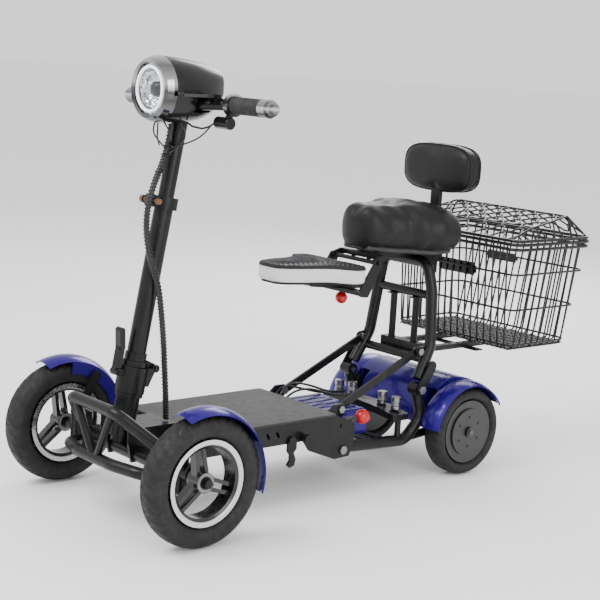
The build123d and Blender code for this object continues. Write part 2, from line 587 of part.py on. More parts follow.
with BuildPart() as cross_plate:
    with BuildSketch(Plane(origin=(-150, 0, 0), x_dir=(0, 1, 0), z_dir=(1, 0, 0))):
        with BuildLine():
            ThreePointArc((-118, 132), (0, 141), (118, 132))
            Line((118, 132), (118, 146))
            ThreePointArc((118, 146), (0, 157), (-118, 146))
            Line((-118, 146), (-118, 132))
        make_face()
    extrude(amount=46)
cross_plate.part.label = "cross_plate"
export_step(cross_plate.part, "parts/cross_plate.step")

with BuildPart() as suspension_springs:
    for y in (-94, -50, 50, 94):
        base = 157.5 if abs(y) < 60 else 153.5
        post(-133, y, 11, (base, base + 7))
        post(-133, y, 8, (base + 7, base + 17))
        post(-133, y, 11, (base + 17, base + 27))
suspension_springs.part.label = "suspension_springs"
export_step(suspension_springs.part, "parts/suspension_springs.step")

with BuildPart() as vented_cover:
    block((-58, 68), (-82, 82), (106, 162))
    fillet(vented_cover.edges().group_by(Axis.Z)[-1], 10)
    block((-55, 65), (-79, 79), (105, 150), Mode.SUBTRACT)
    for i in range(6):
        with BuildSketch(Plane.XY.offset(160)) as louvre:
            with Locations((5, -60 + 24 * i)):
                SlotOverall(90, 6)
        extrude(louvre.sketch, amount=4, mode=Mode.SUBTRACT)
vented_cover.part.label = "vented_cover"
export_step(vented_cover.part, "parts/vented_cover.step")

COVER_FRONT, COVER_REAR = -196.0, -402.0


def cover_profile(shrink):
    """The blue body's side outline, each face moved in by shrink."""
    with BuildLine() as outline:
        Spline((COVER_REAR + shrink, 116), (-392 + shrink, 168), (-340, 206 - shrink), (-280, 216 - shrink),
               (-232, 196 - shrink), (COVER_FRONT - shrink, 136), (COVER_FRONT - shrink, 116))
        Line((COVER_FRONT - shrink, 116), (COVER_REAR + shrink, 116))
    return outline.line


with BuildPart() as rear_cover:
    for shrink, mode in ((0, Mode.ADD), (3, Mode.SUBTRACT)):
        with BuildSketch(Plane.XZ.offset(-(94 - shrink))) as narrow:
            add(cover_profile(shrink))
            make_face()
        extrude(narrow.sketch, amount=2 * (94 - shrink), mode=mode)
    with BuildSketch(Plane.XZ.offset(-126)) as wide:
        add(cover_profile(0))
        make_face()
    extrude(wide.sketch, amount=33)
    with BuildSketch(Plane.XZ.offset(93)) as wide_right:
        add(cover_profile(0))
        make_face()
    extrude(wide_right.sketch, amount=33)
    for side, s in SIDES:
        block((-232, -150), (s * 94, s * 130), (100, 230), Mode.SUBTRACT)
        with BuildSketch(Plane.XZ.offset(-max(s * 93, s * 123))) as hollow:
            add(cover_profile(3))
            make_face()
        extrude(hollow.sketch, amount=30, mode=Mode.SUBTRACT)
rear_cover.part.label = "rear_cover"
export_step(rear_cover.part, "parts/rear_cover.step")

REAR_FENDER_R = 112.0
with BuildPart() as rear_fenders:
    for side, s in SIDES:
        centre = (REAR_AXLE_X, s * (REAR_WHEEL_Y + 2), REAR_AXLE_Z)
        with BuildSketch(wheel_plane(*centre, 8)) as section:
            with BuildLine():
                half = 30.0
                ThreePointArc((-half, REAR_FENDER_R - 5), (0, REAR_FENDER_R + 3), (half, REAR_FENDER_R - 5))
                Line((half, REAR_FENDER_R - 5), (half - 2.5, REAR_FENDER_R - 7))
                ThreePointArc((half - 2.5, REAR_FENDER_R - 7), (0, REAR_FENDER_R), (2.5 - half, REAR_FENDER_R - 7))
                Line((2.5 - half, REAR_FENDER_R - 7), (-half, REAR_FENDER_R - 5))
            make_face()
        revolve(section.sketch, axis=wheel_axis(*centre), revolution_arc=142)
        block((-312, -264), (s * 126.2, s * 131), (198, 208))
rear_fenders.part.label = "rear_fenders"
export_step(rear_fenders.part, "parts/rear_fenders.step")

for side, s in SIDES:
    centre = (REAR_AXLE_X, s * REAR_WHEEL_Y, REAR_AXLE_Z)

    with BuildPart() as rear_tyre:
        with BuildSketch(wheel_plane(*centre)):
            with BuildLine():
                half = REAR_TYRE_W / 2
                Polyline((-20, REAR_RIM_R), (20, REAR_RIM_R), (half - 1, REAR_RIM_R + 6))
                Spline((half - 1, REAR_RIM_R + 6), (half, 86), (half - 5, 95), (0, REAR_TYRE_R),
                       (5 - half, 95), (-half, 86), (1 - half, REAR_RIM_R + 6))
                Line((1 - half, REAR_RIM_R + 6), (-20, REAR_RIM_R))
            make_face()
        revolve(axis=wheel_axis(*centre))
    rear_tyre.part.label = f"rear_tyre_{side}"
    export_step(rear_tyre.part, f"parts/rear_tyre_{side}.step")

    with BuildPart() as hub_motor:
        disc(REAR_AXLE_X, REAR_AXLE_Z, REAR_RIM_R - 0.2, (s * 134, s * 176))
        disc(REAR_AXLE_X, REAR_AXLE_Z, 54, (s * 176, s * 180))
        disc(REAR_AXLE_X, REAR_AXLE_Z, 12, (s * 180, s * 185))
        disc(REAR_AXLE_X, REAR_AXLE_Z, 7, (s * 185, s * 188), hexagon=True)
        for k in range(6):
            a = radians(60 * k + 30)
            disc(REAR_AXLE_X + 34 * cos(a), REAR_AXLE_Z + 34 * sin(a), 3, (s * 180, s * 181.5))
        disc(REAR_AXLE_X, REAR_AXLE_Z, 7 + GAP, (s * 130, s * 173), Mode.SUBTRACT)
    hub_motor.part.label = f"hub_motor_{side}"
    export_step(hub_motor.part, f"parts/hub_motor_{side}.step")

# ---- release lever -----------------------------------------------------------------------------
RELEASE_BALL = (-10.0, 118.0, 156.0)
with BuildPart() as release_lever:
    link(RELEASE_PIVOT, (22, 152), 9, (116, 120))
    rod([(26, 118, 152.4), (RELEASE_BALL[0] + 14, 118, 155)], 4)
    disc(*RELEASE_PIVOT, 4, (106, 129))
    disc(46, 149.5, 4, (113, 123))
release_lever.part.label = "release_lever"
export_step(release_lever.part, "parts/release_lever.step")

with BuildPart() as release_knob:
    with Locations(RELEASE_BALL):
        Sphere(16.5)
    rod([(26, 118, 152.4), (RELEASE_BALL[0] + 14, 118, 155)], 4, mode=Mode.SUBTRACT)
release_knob.part.label = "release_knob"
export_step(release_knob.part, "parts/release_knob.step")

# ---- seat frame --------------------------------------------------------------------------------
with BuildPart() as brace_bars:
    for side, s in SIDES:
        link(BRACE_FOOT, BRACE_HEAD, 8.5, (s * BRACE_Y[0], s * BRACE_Y[1]))
        for pivot in (BRACE_FOOT, BRACE_HEAD):
            disc(*pivot, SMALL_PIVOT_R + GAP, (s * 80, s * 100), Mode.SUBTRACT)
brace_bars.part.label = "brace_bars"
export_step(brace_bars.part, "parts/brace_bars.step")

with BuildPart() as seat_frame:
    left = [(-184, 107, 219), (-224, 100, 289), (-231, 86, 412), (-228, 70, 476)]
    right = [(x, -y, z) for x, y, z in reversed(left)]
    rod(left + right, FRAME_R, bends=(60, 120, 30, 30, 120, 60), wall=FRAME_WALL)
    rod([(-212, -101, 259), (-212, 101, 259)], 10)
    rod([(-231, -84, 402), (-231, 84, 402)], 10)
    for side, s in SIDES:
        link(SEAT_PIVOT, (-206, 250), 12, (s * 126, s * 130))
        disc(-204, 247, 8, (s * 104, s * 127))
        link(BRACE_HEAD, (-216, 281), 11, (s * 97, s * 101))
        disc(*BRACE_HEAD, SMALL_PIVOT_R + GAP, (s * 95, s * 105), Mode.SUBTRACT)
        disc(*SEAT_PIVOT, PIVOT_R + GAP, (s * 125, s * 135), Mode.SUBTRACT)
seat_frame.part.label = "seat_frame"
export_step(seat_frame.part, "parts/seat_frame.step")

with BuildPart() as seat_frame_bolts:
    for side, s in SIDES:
        disc(*SEAT_PIVOT, PIVOT_R, (s * 95, s * 131))
        disc(*SEAT_PIVOT, 10, (s * 130.2, s * 135), hexagon=True)
        disc(*BRACE_HEAD, SMALL_PIVOT_R, (s * 86, s * 103))
        disc(*BRACE_HEAD, 8.5, (s * 84, s * 87.5), hexagon=True)
        disc(*BRACE_HEAD, 8.5, (s * 101.2, s * 105), hexagon=True)
seat_frame_bolts.part.label = "seat_frame_bolts"
export_step(seat_frame_bolts.part, "parts/seat_frame_bolts.step")

BASKET_FLOOR = 276.0
with BuildPart() as basket_support:
    for y in (-34, 38):
        rod([(-232, y, 391.5), (-232, y, 284)], 8)
        block((-245, -219), (y - 11, y + 11), (389, 391.8))
    block((-246, -222.5), (-60, 60), (262, 287))
    for side, s in SIDES:
        block((-580, -230), (s * 42, s * 58), (BASKET_FLOOR - 12, BASKET_FLOOR - 0.3))
    for x in (-400, -550):
        block((x - 12, x + 12), (-90, 90), (BASKET_FLOOR - 15, BASKET_FLOOR - 12))
basket_support.part.label = "basket_support"
export_step(basket_support.part, "parts/basket_support.step")

SADDLE_NOSE, SADDLE_REAR = -54.0, -301.0
SADDLE_FLOOR = 497.0
POST_X = (-318.0, -306.0)
with BuildPart() as saddle_bracket:
    for side, s in SIDES:
        block((-300, -84), (s * 20, s * 30), (484, SADDLE_FLOOR))
        plate([(-98, 497), (-84, 497), (-62, 491), (-61, 478), (-70, 473), (-82, 478), (-98, 486)],
              (s * 64, s * 69), corner=2)
    block((-98, -84), (-69, 69), (486, SADDLE_FLOOR))
    block((POST_X[0] - 4, POST_X[1] + 4), (-19, 19), (466, 493))
    block((-304, -288), (-30, 30), (484, 493))
    block((POST_X[0] - 0.4, POST_X[1] + 0.4), (-14.4, 14.4), (460, 500), Mode.SUBTRACT)
    rod([(-228, -66, 478), (-228, 66, 478)], FRAME_R + 0.1, mode=Mode.SUBTRACT)
    disc(*CHILD_PIVOT, SMALL_PIVOT_R, (-79, 79))
saddle_bracket.part.label = "saddle_bracket"
export_step(saddle_bracket.part, "parts/saddle_bracket.step")

with BuildPart() as saddle:
    with BuildSketch(Plane.XY.offset(SADDLE_FLOOR + 0.2)) as saddle_outline:
        with BuildLine():
            Polyline((SADDLE_NOSE, -54), (SADDLE_NOSE, 54), (-150, 80), (-196, 116), (-240, 130),
                     (-284, 122), (SADDLE_REAR, 84), (SADDLE_REAR, -84), (-284, -122), (-240, -130),
                     (-196, -116), (-150, -80), close=True)
        make_face()
        fillet(saddle_outline.vertices(), 16)
    extrude(amount=111)
saddle.part.label = "saddle"
export_step(saddle.part, "parts/saddle.step")

with BuildPart() as backrest_post:
    block(POST_X, (-14, 14), (440, 676))
    fillet(backrest_post.edges().filter_by(Axis.Z), 2)
backrest_post.part.label = "backrest_post"
export_step(backrest_post.part, "parts/backrest_post.step")

with BuildPart() as backrest_pad:
    with BuildSketch(Plane(origin=(-346, 0, 683), x_dir=(0, 1, 0), z_dir=(1, 0, 0))):
        RectangleRounded(216, 108, 42)
    extrude(amount=50)
    fillet(backrest_pad.edges().group_by(Axis.X)[-1], 18)
    fillet(backrest_pad.edges().group_by(Axis.X)[0], 10)
    block(POST_X, (-14, 14), (600, 676), Mode.SUBTRACT)
backrest_pad.part.label = "backrest_pad"
export_step(backrest_pad.part, "parts/backrest_pad.step")

KNOB_X = -34.0
# The child seat leans up a little towards its nose.
CHILD_TILT = 1.0
CHILD_PLANE = Plane(
    origin=(-24, 0, 440),
    x_dir=(cos(radians(CHILD_TILT)), 0, sin(radians(CHILD_TILT))),
    z_dir=(-sin(radians(CHILD_TILT)), 0, cos(radians(CHILD_TILT))),
)
with BuildPart() as child_seat_pad:
    with BuildSketch(CHILD_PLANE.offset(4.3)) as pad_outline:
        with BuildLine():
            Polyline((209, -26), (209, 26), (190, 45), (149, 57), (94, 66), (66, 84), (52, 106), (20, 106),
                     (8, 88), (8, -88), (20, -106), (52, -106), (66, -84), (94, -66), (149, -57), (190, -45),
                     close=True)
        make_face()
        fillet(pad_outline.vertices(), 9)
    extrude(amount=38)
child_seat_pad.part.label = "child_seat_pad"
export_step(child_seat_pad.part, "parts/child_seat_pad.step")

with BuildPart() as child_seat_base:
    with BuildSketch(CHILD_PLANE) as base_outline:
        with BuildLine():
            Polyline((202, -24), (202, 24), (184, 39), (146, 51), (90, 60), (60, 80), (46, 98), (26, 98),
                     (14, 82), (14, -82), (26, -98), (46, -98), (60, -80), (90, -60), (146, -51), (184, -39),
                     close=True)
        make_face()
        fillet(base_outline.vertices(), 8)
    extrude(amount=4)
    plate([(90, 444), (90, 438), (80, 432), (-30, 421), (-84, 421), (-84, 427), (-12, 441)], (-28, 28))
    block((-46, -22), (-75, 75), (412, 421))
    for side, s in SIDES:
        plate([(-80, 488), (-62, 490), (-20, 426), (-22, 410), (-44, 408), (-80, 472)], (s * 70, s * 75),
              corner=4)
        disc(*CHILD_PIVOT, SMALL_PIVOT_R + GAP, (s * 68, s * 78), Mode.SUBTRACT)
    post(KNOB_X, 0, 4 + GAP, (400, 422), Mode.SUBTRACT)
child_seat_base.part.label = "child_seat_base"
export_step(child_seat_base.part, "parts/child_seat_base.step")

with BuildPart() as child_seat_knob:
    with Locations((KNOB_X, 0, 397)):
        Sphere(13.5)
    post(KNOB_X, 0, 4, (405, 421))
child_seat_knob.part.label = "child_seat_knob"
export_step(child_seat_knob.part, "parts/child_seat_knob.step")

# ---- basket ------------------------------------------------------------------------------------
BASKET_FRONT = -376.0
BASKET_HALF_W = 204.0
BASKET_WALL = 4.0
with BuildPart() as basket:
    for shrink, mode in ((0.0, Mode.ADD), (BASKET_WALL, Mode.SUBTRACT)):
        with BuildSketch(Plane.XY.offset(BASKET_FLOOR + shrink)) as floor:
            with Locations((-496, 0)):
                RectangleRounded(208 - 2 * shrink, 368 - 2 * shrink, 18)
        with BuildSketch(Plane.XY.offset(RIM_Z)) as mouth:
            with Locations(((BASKET_FRONT - HALF_LENGTH) / 2, 0)):
                RectangleRounded(HALF_LENGTH + BASKET_FRONT - 2 * shrink, 2 * (BASKET_HALF_W - shrink), 24)
        loft(sections=[floor.sketch, mouth.sketch], mode=mode)
basket.part.label = "basket"
export_step(basket.part, "parts/basket.step")

LID_RIDGE = (-572.0, 586.0)
LID_HINGE = (-371.5, 530.2)
with BuildPart() as basket_lid:
    outline = [(BASKET_FRONT, RIM_Z + 1), (BASKET_FRONT, RIM_Z + 6), (BASKET_FRONT - 70, 562),
               LID_RIDGE, (-HALF_LENGTH + 6, RIM_Z + 10), (-HALF_LENGTH + 4, RIM_Z + 1)]
    plate(outline, (-BASKET_HALF_W + 2, BASKET_HALF_W - 2))
    plate([(BASKET_FRONT - 4, RIM_Z), (BASKET_FRONT - 4, RIM_Z + 3), (BASKET_FRONT - 70, 557),
           (LID_RIDGE[0], LID_RIDGE[1] - 5), (-HALF_LENGTH + 11, RIM_Z + 6), (-HALF_LENGTH + 11, RIM_Z)],
          (-BASKET_HALF_W + 6, BASKET_HALF_W - 6), mode=Mode.SUBTRACT)
    for side, s in SIDES:
        block((BASKET_FRONT - 3, LID_HINGE[0]), (s * 60, s * 90), (LID_HINGE[1], RIM_Z + 4))
        disc(*LID_HINGE, 3.4, (s * 60, s * 90))
basket_lid.part.label = "basket_lid"
export_step(basket_lid.part, "parts/basket_lid.step")
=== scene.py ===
"""Looks for the folding four-wheel scooter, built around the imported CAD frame.

Metres, +X forward, +Y to the rider's left, +Z up, origin on the floor under the middle.
"""
import json
from math import cos, exp, pi, radians, sin

import bmesh
import bpy
from mathutils import Matrix, Vector


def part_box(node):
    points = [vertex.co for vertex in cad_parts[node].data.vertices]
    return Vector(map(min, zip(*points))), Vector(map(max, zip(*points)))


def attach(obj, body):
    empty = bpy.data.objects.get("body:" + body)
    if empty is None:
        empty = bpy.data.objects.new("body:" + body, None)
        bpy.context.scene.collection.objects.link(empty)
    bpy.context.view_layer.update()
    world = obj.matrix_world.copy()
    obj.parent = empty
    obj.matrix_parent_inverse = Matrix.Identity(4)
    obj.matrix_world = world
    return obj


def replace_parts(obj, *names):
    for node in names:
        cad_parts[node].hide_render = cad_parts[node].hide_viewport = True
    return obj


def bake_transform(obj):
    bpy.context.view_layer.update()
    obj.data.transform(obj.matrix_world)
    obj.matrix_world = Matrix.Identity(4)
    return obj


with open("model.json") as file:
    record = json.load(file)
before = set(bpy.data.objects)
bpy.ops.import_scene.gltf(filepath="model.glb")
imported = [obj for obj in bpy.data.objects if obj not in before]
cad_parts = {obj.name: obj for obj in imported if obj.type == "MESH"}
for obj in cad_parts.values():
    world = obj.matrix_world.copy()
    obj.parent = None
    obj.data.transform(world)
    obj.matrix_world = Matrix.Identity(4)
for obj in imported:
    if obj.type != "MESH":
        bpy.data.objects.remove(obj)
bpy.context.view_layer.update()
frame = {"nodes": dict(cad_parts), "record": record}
NODES = frame["nodes"]
SLOT_OF = {s["node"]: s["material_slot"] for s in frame["record"]["subparts"]}
MM = 0.001


# ---- materials ---------------------------------------------------------------------------------
class Surface:
    """A Principled material with helpers that wire procedural detail into it."""

    def __init__(self, name, colour, rough, metal=0.0, coat=0.0, coat_rough=0.05, spec=0.5):
        self.mat = bpy.data.materials.new(name)
        self.mat.use_nodes = True
        self.tree = self.mat.node_tree
        self.shader = self.tree.nodes["Principled BSDF"]
        self.set("Base Color", (*colour, 1))
        self.set("Roughness", rough)
        self.set("Metallic", metal)
        self.set("Coat Weight", coat)
        self.set("Coat Roughness", coat_rough)
        self.set("Specular IOR Level", spec)
        self.coord = self.tree.nodes.new("ShaderNodeTexCoord").outputs["Object"]
        self.normal = None

    def set(self, socket, value):
        self.shader.inputs[socket].default_value = value

    def link(self, out, inp):
        self.tree.links.new(out, inp)

    def noise(self, scale, detail=3.0):
        node = self.tree.nodes.new("ShaderNodeTexNoise")
        node.inputs["Scale"].default_value = scale
        node.inputs["Detail"].default_value = detail
        self.link(self.coord, node.inputs["Vector"])
        return node.outputs["Fac"]

    def cells(self, scale, randomness=1.0):
        node = self.tree.nodes.new("ShaderNodeTexVoronoi")
        node.inputs["Scale"].default_value = scale
        node.inputs["Randomness"].default_value = randomness
        self.link(self.coord, node.inputs["Vector"])
        return node.outputs["Distance"]

    def ramp(self, factor, stops):
        node = self.tree.nodes.new("ShaderNodeValToRGB")
        node.color_ramp.elements[0].position = stops[0][0]
        node.color_ramp.elements[0].color = (*stops[0][1], 1)
        node.color_ramp.elements[1].position = stops[-1][0]
        node.color_ramp.elements[1].color = (*stops[-1][1], 1)
        for position, colour in stops[1:-1]:
            element = node.color_ramp.elements.new(position)
            element.color = (*colour, 1)
        self.link(factor, node.inputs["Fac"])
        return node.outputs["Color"]

    def spread(self, factor, low, high, start=0.3, end=0.7):
        node = self.tree.nodes.new("ShaderNodeMapRange")
        node.inputs["From Min"].default_value = start
        node.inputs["From Max"].default_value = end
        node.inputs["To Min"].default_value = low
        node.inputs["To Max"].default_value = high
        self.link(factor, node.inputs["Value"])
        return node.outputs["Result"]

    def vary_colour(self, scale, low, high, detail=4.0):
        self.link(self.ramp(self.noise(scale, detail), ((0.3, low), (0.7, high))),
                  self.shader.inputs["Base Color"])

    def vary_rough(self, scale, low, high):
        self.link(self.spread(self.noise(scale), low, high), self.shader.inputs["Roughness"])

    def bump(self, height, distance, strength=1.0):
        node = self.tree.nodes.new("ShaderNodeBump")
        node.inputs["Strength"].default_value = strength
        node.inputs["Distance"].default_value = distance
        self.link(height, node.inputs["Height"])
        if self.normal:
            self.link(self.normal, node.inputs["Normal"])
        self.normal = node.outputs["Normal"]
        self.link(self.normal, self.shader.inputs["Normal"])

    def math(self, operation, a, b=None):
        node = self.tree.nodes.new("ShaderNodeMath")
        node.operation = operation
        for i, value in enumerate((a, b)):
            if value is None:
                continue
            if isinstance(value, (int, float)):
                node.inputs[i].default_value = value
            else:
                self.link(value, node.inputs[i])
        return node.outputs[0]

    def axes(self):
        node = self.tree.nodes.new("ShaderNodeSeparateXYZ")
        self.link(self.coord, node.inputs[0])
        return node.outputs["X"], node.outputs["Y"], node.outputs["Z"]

    def radius(self, x, z):
        """Distance from the line along Y through (x, z)."""
        px, _, pz = self.axes()
        dx = self.math("SUBTRACT", px, x)
        dz = self.math("SUBTRACT", pz, z)
        return self.math("SQRT", self.math("ADD", self.math("MULTIPLY", dx, dx),
                                           self.math("MULTIPLY", dz, dz)))


def powder_black():
    s = Surface("frame_black", (0.006, 0.006, 0.007), 0.32, coat=0.06, coat_rough=0.15, spec=0.22)
    s.vary_colour(35, (0.003, 0.003, 0.0035), (0.008, 0.008, 0.009))
    s.vary_rough(90, 0.26, 0.4)
    s.bump(s.noise(900, 2), 0.0002, 0.35)
    return s.mat


def deck_vinyl():
    s = Surface("deck_vinyl", (0.02, 0.02, 0.022), 0.55, spec=0.35)
    s.vary_colour(9, (0.017, 0.017, 0.019), (0.021, 0.021, 0.023))
    s.vary_rough(60, 0.5, 0.6)
    s.bump(s.cells(420, randomness=0.3), 0.0003, 0.4)
    s.bump(s.noise(1600, 2), 0.0002, 0.5)
    return s.mat


def moulded(name, colour, rough, coat=0.0, spec=0.35):
    s = Surface(name, colour, rough, coat=coat, spec=spec)
    dark = tuple(c * 0.7 for c in colour)
    light = tuple(min(1, c * 1.35 + 0.004) for c in colour)
    s.vary_colour(22, dark, light)
    s.vary_rough(70, rough * 0.8, min(1, rough * 1.25))
    s.bump(s.noise(1300, 2), 0.0002, 0.3)
    return s.mat


def metal(name, colour, rough):
    s = Surface(name, colour, rough, metal=1.0)
    s.vary_colour(40, tuple(c * 0.82 for c in colour), colour)
    s.vary_rough(400, rough * 0.7, rough * 1.4)
    s.bump(s.noise(1200, 2), 0.0001, 0.2)
    return s.mat


def reflection_banded_metal(name, low, high, reflection_bands, rough):
    """Metal whose base colour holds painted reflections: grey bands from height low to high at rest."""
    s = Surface(name, (0.5, 0.5, 0.52), rough, metal=1.0)
    share = s.math("DIVIDE", s.math("SUBTRACT", s.axes()[2], low), high - low)
    # Painted reflections: the grey bands by height stand in for the studio's reflections, not the metal's own
    # colour.
    s.link(s.ramp(share, tuple((at, (grey, grey, grey * 1.03)) for at, grey in reflection_bands)),
           s.shader.inputs["Base Color"])
    s.vary_rough(300, rough * 0.7, rough * 1.3)
    s.bump(s.noise(900, 2), 0.0001, 0.15)
    return s.mat


def violet_gloss():
    s = Surface("violet_gloss", (0.014, 0.003, 0.15), 0.3, metal=0.3, coat=0.25, coat_rough=0.05, spec=0.2)
    s.vary_colour(420, (0.010, 0.002, 0.11), (0.022, 0.005, 0.19), 2)
    s.vary_rough(30, 0.2, 0.3)
    s.bump(s.noise(9, 1), 0.0004, 0.1)
    return s.mat


def tyre_rubber():
    s = Surface("tyre_rubber", (0.008, 0.008, 0.008), 0.62, spec=0.35)
    s.vary_colour(30, (0.004, 0.004, 0.004), (0.011, 0.0105, 0.010))
    s.vary_rough(80, 0.5, 0.75)
    s.bump(s.noise(700, 3), 0.0003, 0.5)
    return s.mat


def leather(name, low, high, rough=0.42):
    s = Surface(name, low, rough, coat=0.04, coat_rough=0.25, spec=0.22)
    s.vary_colour(12, low, high)
    s.vary_rough(50, rough * 0.85, rough * 1.25)
    s.bump(s.cells(650), 0.0005, 0.45)
    s.bump(s.noise(60, 3), 0.0008, 0.18)
    return s.mat


def front_rim_alloy(name, x, z):
    """Silver rim ring and hub face, black spokes between."""
    s = Surface(name, (0.6, 0.6, 0.62), 0.25, metal=1.0, coat=0.2)
    r = s.radius(x, z)
    shine = s.spread(r, 0.0, 1.0, 0.0735, 0.074)
    s.link(shine, s.shader.inputs["Metallic"])
    black, silver = (0.004, 0.004, 0.005), (0.6, 0.6, 0.62)
    scaled = s.math("MULTIPLY", r, 10)
    hub = (0.16, 0.16, 0.165)
    s.link(s.ramp(scaled, ((0.0, black), (0.125, black), (0.13, hub), (0.185, hub), (0.19, black),
                           (0.735, black), (0.74, silver), (1.0, silver))), s.shader.inputs["Base Color"])
    s.vary_rough(150, 0.18, 0.34)
    s.bump(s.noise(600, 2), 0.0001, 0.2)
    return s.mat


def hub_motor_paint(name, x, z):
    """Satin drum with fine turned rings and a bright axle end."""
    s = Surface(name, (0.012, 0.012, 0.013), 0.4, coat=0.15)
    r = s.radius(x, z)
    scaled = s.math("MULTIPLY", r, 10)
    s.link(s.ramp(scaled, ((0.0, (0.06, 0.06, 0.06)), (0.075, (0.04, 0.04, 0.04)),
                           (0.09, (0.006, 0.006, 0.007)), (1.0, (0.009, 0.009, 0.010)))),
           s.shader.inputs["Base Color"])
    s.vary_rough(60, 0.28, 0.42)
    s.bump(s.math("SINE", s.math("MULTIPLY", r, 2400)), 0.0002, 0.25)
    return s.mat


def lamp_glass():
    s = Surface("lamp_glass", (0.95, 0.97, 1.0), 0.03)
    s.set("Transmission Weight", 1.0)
    s.set("IOR", 1.35)
    s.bump(s.noise(80, 1), 0.0002, 0.1)
    return s.mat


def lamp_mirror():
    s = Surface("lamp_mirror", (0.85, 0.85, 0.88), 0.12, metal=1.0)
    s.bump(s.cells(110), 0.004, 0.7)
    s.vary_colour(60, (0.55, 0.55, 0.58), (0.9, 0.9, 0.92))
    return s.mat


def led_white():
    s = Surface("led_white", (0.9, 0.93, 0.95), 0.3)
    s.set("Emission Color", (0.93, 0.97, 1.0, 1))
    s.set("Emission Strength", 0.75)
    s.bump(s.noise(300, 1), 0.0002, 0.2)
    return s.mat


MATERIALS = {
    "frame_black": powder_black(),
    "deck_vinyl": deck_vinyl(),
    "battery_shell": moulded("battery_shell", (0.05, 0.05, 0.055), 0.6),
    "zinc_steel": metal("zinc_steel", (0.26, 0.26, 0.27), 0.32),
    # Painted reflections: grey bands by height in the lever metal's base colour; parts below the low end come
    # out near black.
    "lever_alloy": reflection_banded_metal("lever_alloy", 0.795, 0.839,
                                ((0.0, 0.03), (0.25, 0.08), (0.42, 0.35), (0.52, 0.8), (0.62, 0.22),
                                 (0.8, 0.3), (1.0, 0.5)), 0.22),
    "brass_bolt": metal("brass_bolt", (0.2, 0.115, 0.065), 0.45),
    "loom_black": moulded("loom_black", (0.008, 0.008, 0.009), 0.35, coat=0.1),
    "gloss_black": moulded("gloss_black", (0.004, 0.004, 0.005), 0.2, coat=0.15, spec=0.25),
    # Painted reflections: grey bands by height in the chrome trim's base colour, on the bezel, lamp rings and
    # trims.
    "chrome_trim": reflection_banded_metal("chrome_trim", 0.774, 0.904,
                                ((0.0, 0.05), (0.15, 0.2), (0.34, 0.06), (0.5, 0.12), (0.6, 0.5),
                                 (0.72, 0.3), (0.86, 0.16), (1.0, 0.5)), 0.14),
    "lamp_mirror": lamp_mirror(),
    "lamp_glass": lamp_glass(),
    "display_glass": moulded("display_glass", (0.01, 0.012, 0.014), 0.08, coat=1.0),
    "grip_rubber": moulded("grip_rubber", (0.016, 0.016, 0.017), 0.62),
    "violet_gloss": violet_gloss(),
    "tyre_rubber": tyre_rubber(),
    "cover_black": moulded("cover_black", (0.025, 0.025, 0.026), 0.5),
    "lever_red": moulded("lever_red", (0.008, 0.008, 0.009), 0.3, coat=0.3),
    "knob_red": moulded("knob_red", (0.5, 0.001, 0.003), 0.2, coat=0.3),
    "seat_leather": leather("seat_leather", (0.004, 0.004, 0.0045), (0.008, 0.008, 0.009)),
    "child_vinyl": leather("child_vinyl", (0.010, 0.0105, 0.012), (0.018, 0.018, 0.021), 0.55),
    "wire_black": moulded("wire_black", (0.005, 0.005, 0.006), 0.26, coat=0.1, spec=0.25),
}
WHITE_VINYL = leather("white_vinyl", (0.62, 0.62, 0.62), (0.75, 0.75, 0.75), 0.4)
LED = led_white()


def wheel_centre(node):
    low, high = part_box(node)
    return (low + high) / 2


def paint_cad():
    """Gives each CAD node its slot's material; the wheels' own ones follow their radius."""
    for name, obj in NODES.items():
        slot_name = SLOT_OF[name]
        if slot_name in ("rim_alloy", "motor_black"):
            centre = wheel_centre(name)
            make = front_rim_alloy if slot_name == "rim_alloy" else hub_motor_paint
            material = make(f"{slot_name}_{name}", centre.x, centre.z)
        else:
            material = MATERIALS[slot_name]
        obj.data.materials.clear()
        obj.data.materials.append(material)


paint_cad()


# ---- mesh and curve helpers --------------------------------------------------------------------
def mesh_piece(name, verts, faces, material, body, replaced=()):
    mesh = bpy.data.meshes.new(name)
    mesh.from_pydata([tuple(v) for v in verts], [], faces)
    work = bmesh.new()
    work.from_mesh(mesh)
    bmesh.ops.recalc_face_normals(work, faces=work.faces)
    work.to_mesh(mesh)
    work.free()
    mesh.materials.append(material)
    mesh.polygons.foreach_set("use_smooth", [True] * len(mesh.polygons))
    obj = bpy.data.objects.new(name, mesh)
    bpy.context.scene.collection.objects.link(obj)
    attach(obj, body)
    if replaced:
        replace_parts(obj, *replaced)
    return obj


def grid_faces(rows, columns, wrap_rows=False):
    """Quads over a grid of rows of points; each row is a closed ring."""
    faces = []
    for i in range(rows if wrap_rows else rows - 1):
        for j in range(columns):
            a, b = i * columns, (i + 1) % rows * columns
            k = (j + 1) % columns
            faces.append((a + j, a + k, b + k, b + j))
    return faces


def closed_skin(rings):
    """Points and faces of a skin through closed rings, with a fan at each end."""
    columns = len(rings[0])
    verts = [v for ring in rings for v in ring]
    faces = grid_faces(len(rings), columns)
    for start, ring in ((0, rings[0]), ((len(rings) - 1) * columns, rings[-1])):
        verts.append(sum((Vector(v) for v in ring), Vector()) / columns)
        hub = len(verts) - 1
        faces += [(start + j, start + (j + 1) % columns, hub) for j in range(columns)]
    return verts, faces


def wire_curve(name, paths, radius, material, sides=3, smooth=False):
    """A curve of round wires. A path is (points, closed); smooth makes them NURBS."""
    curve = bpy.data.curves.new(name, "CURVE")
    curve.dimensions = "3D"
    curve.bevel_depth = radius
    curve.bevel_resolution = sides
    curve.resolution_u = 6
    curve.use_fill_caps = True
    for points, closed in paths:
        spline = curve.splines.new("NURBS" if smooth else "POLY")
        spline.points.add(len(points) - 1)
        for point, place in zip(spline.points, points):
            point.co = (*place, 1)
        spline.use_cyclic_u = closed
        if smooth:
            spline.order_u = 3
            spline.use_endpoint_u = not closed
    curve.materials.append(material)
    return curve


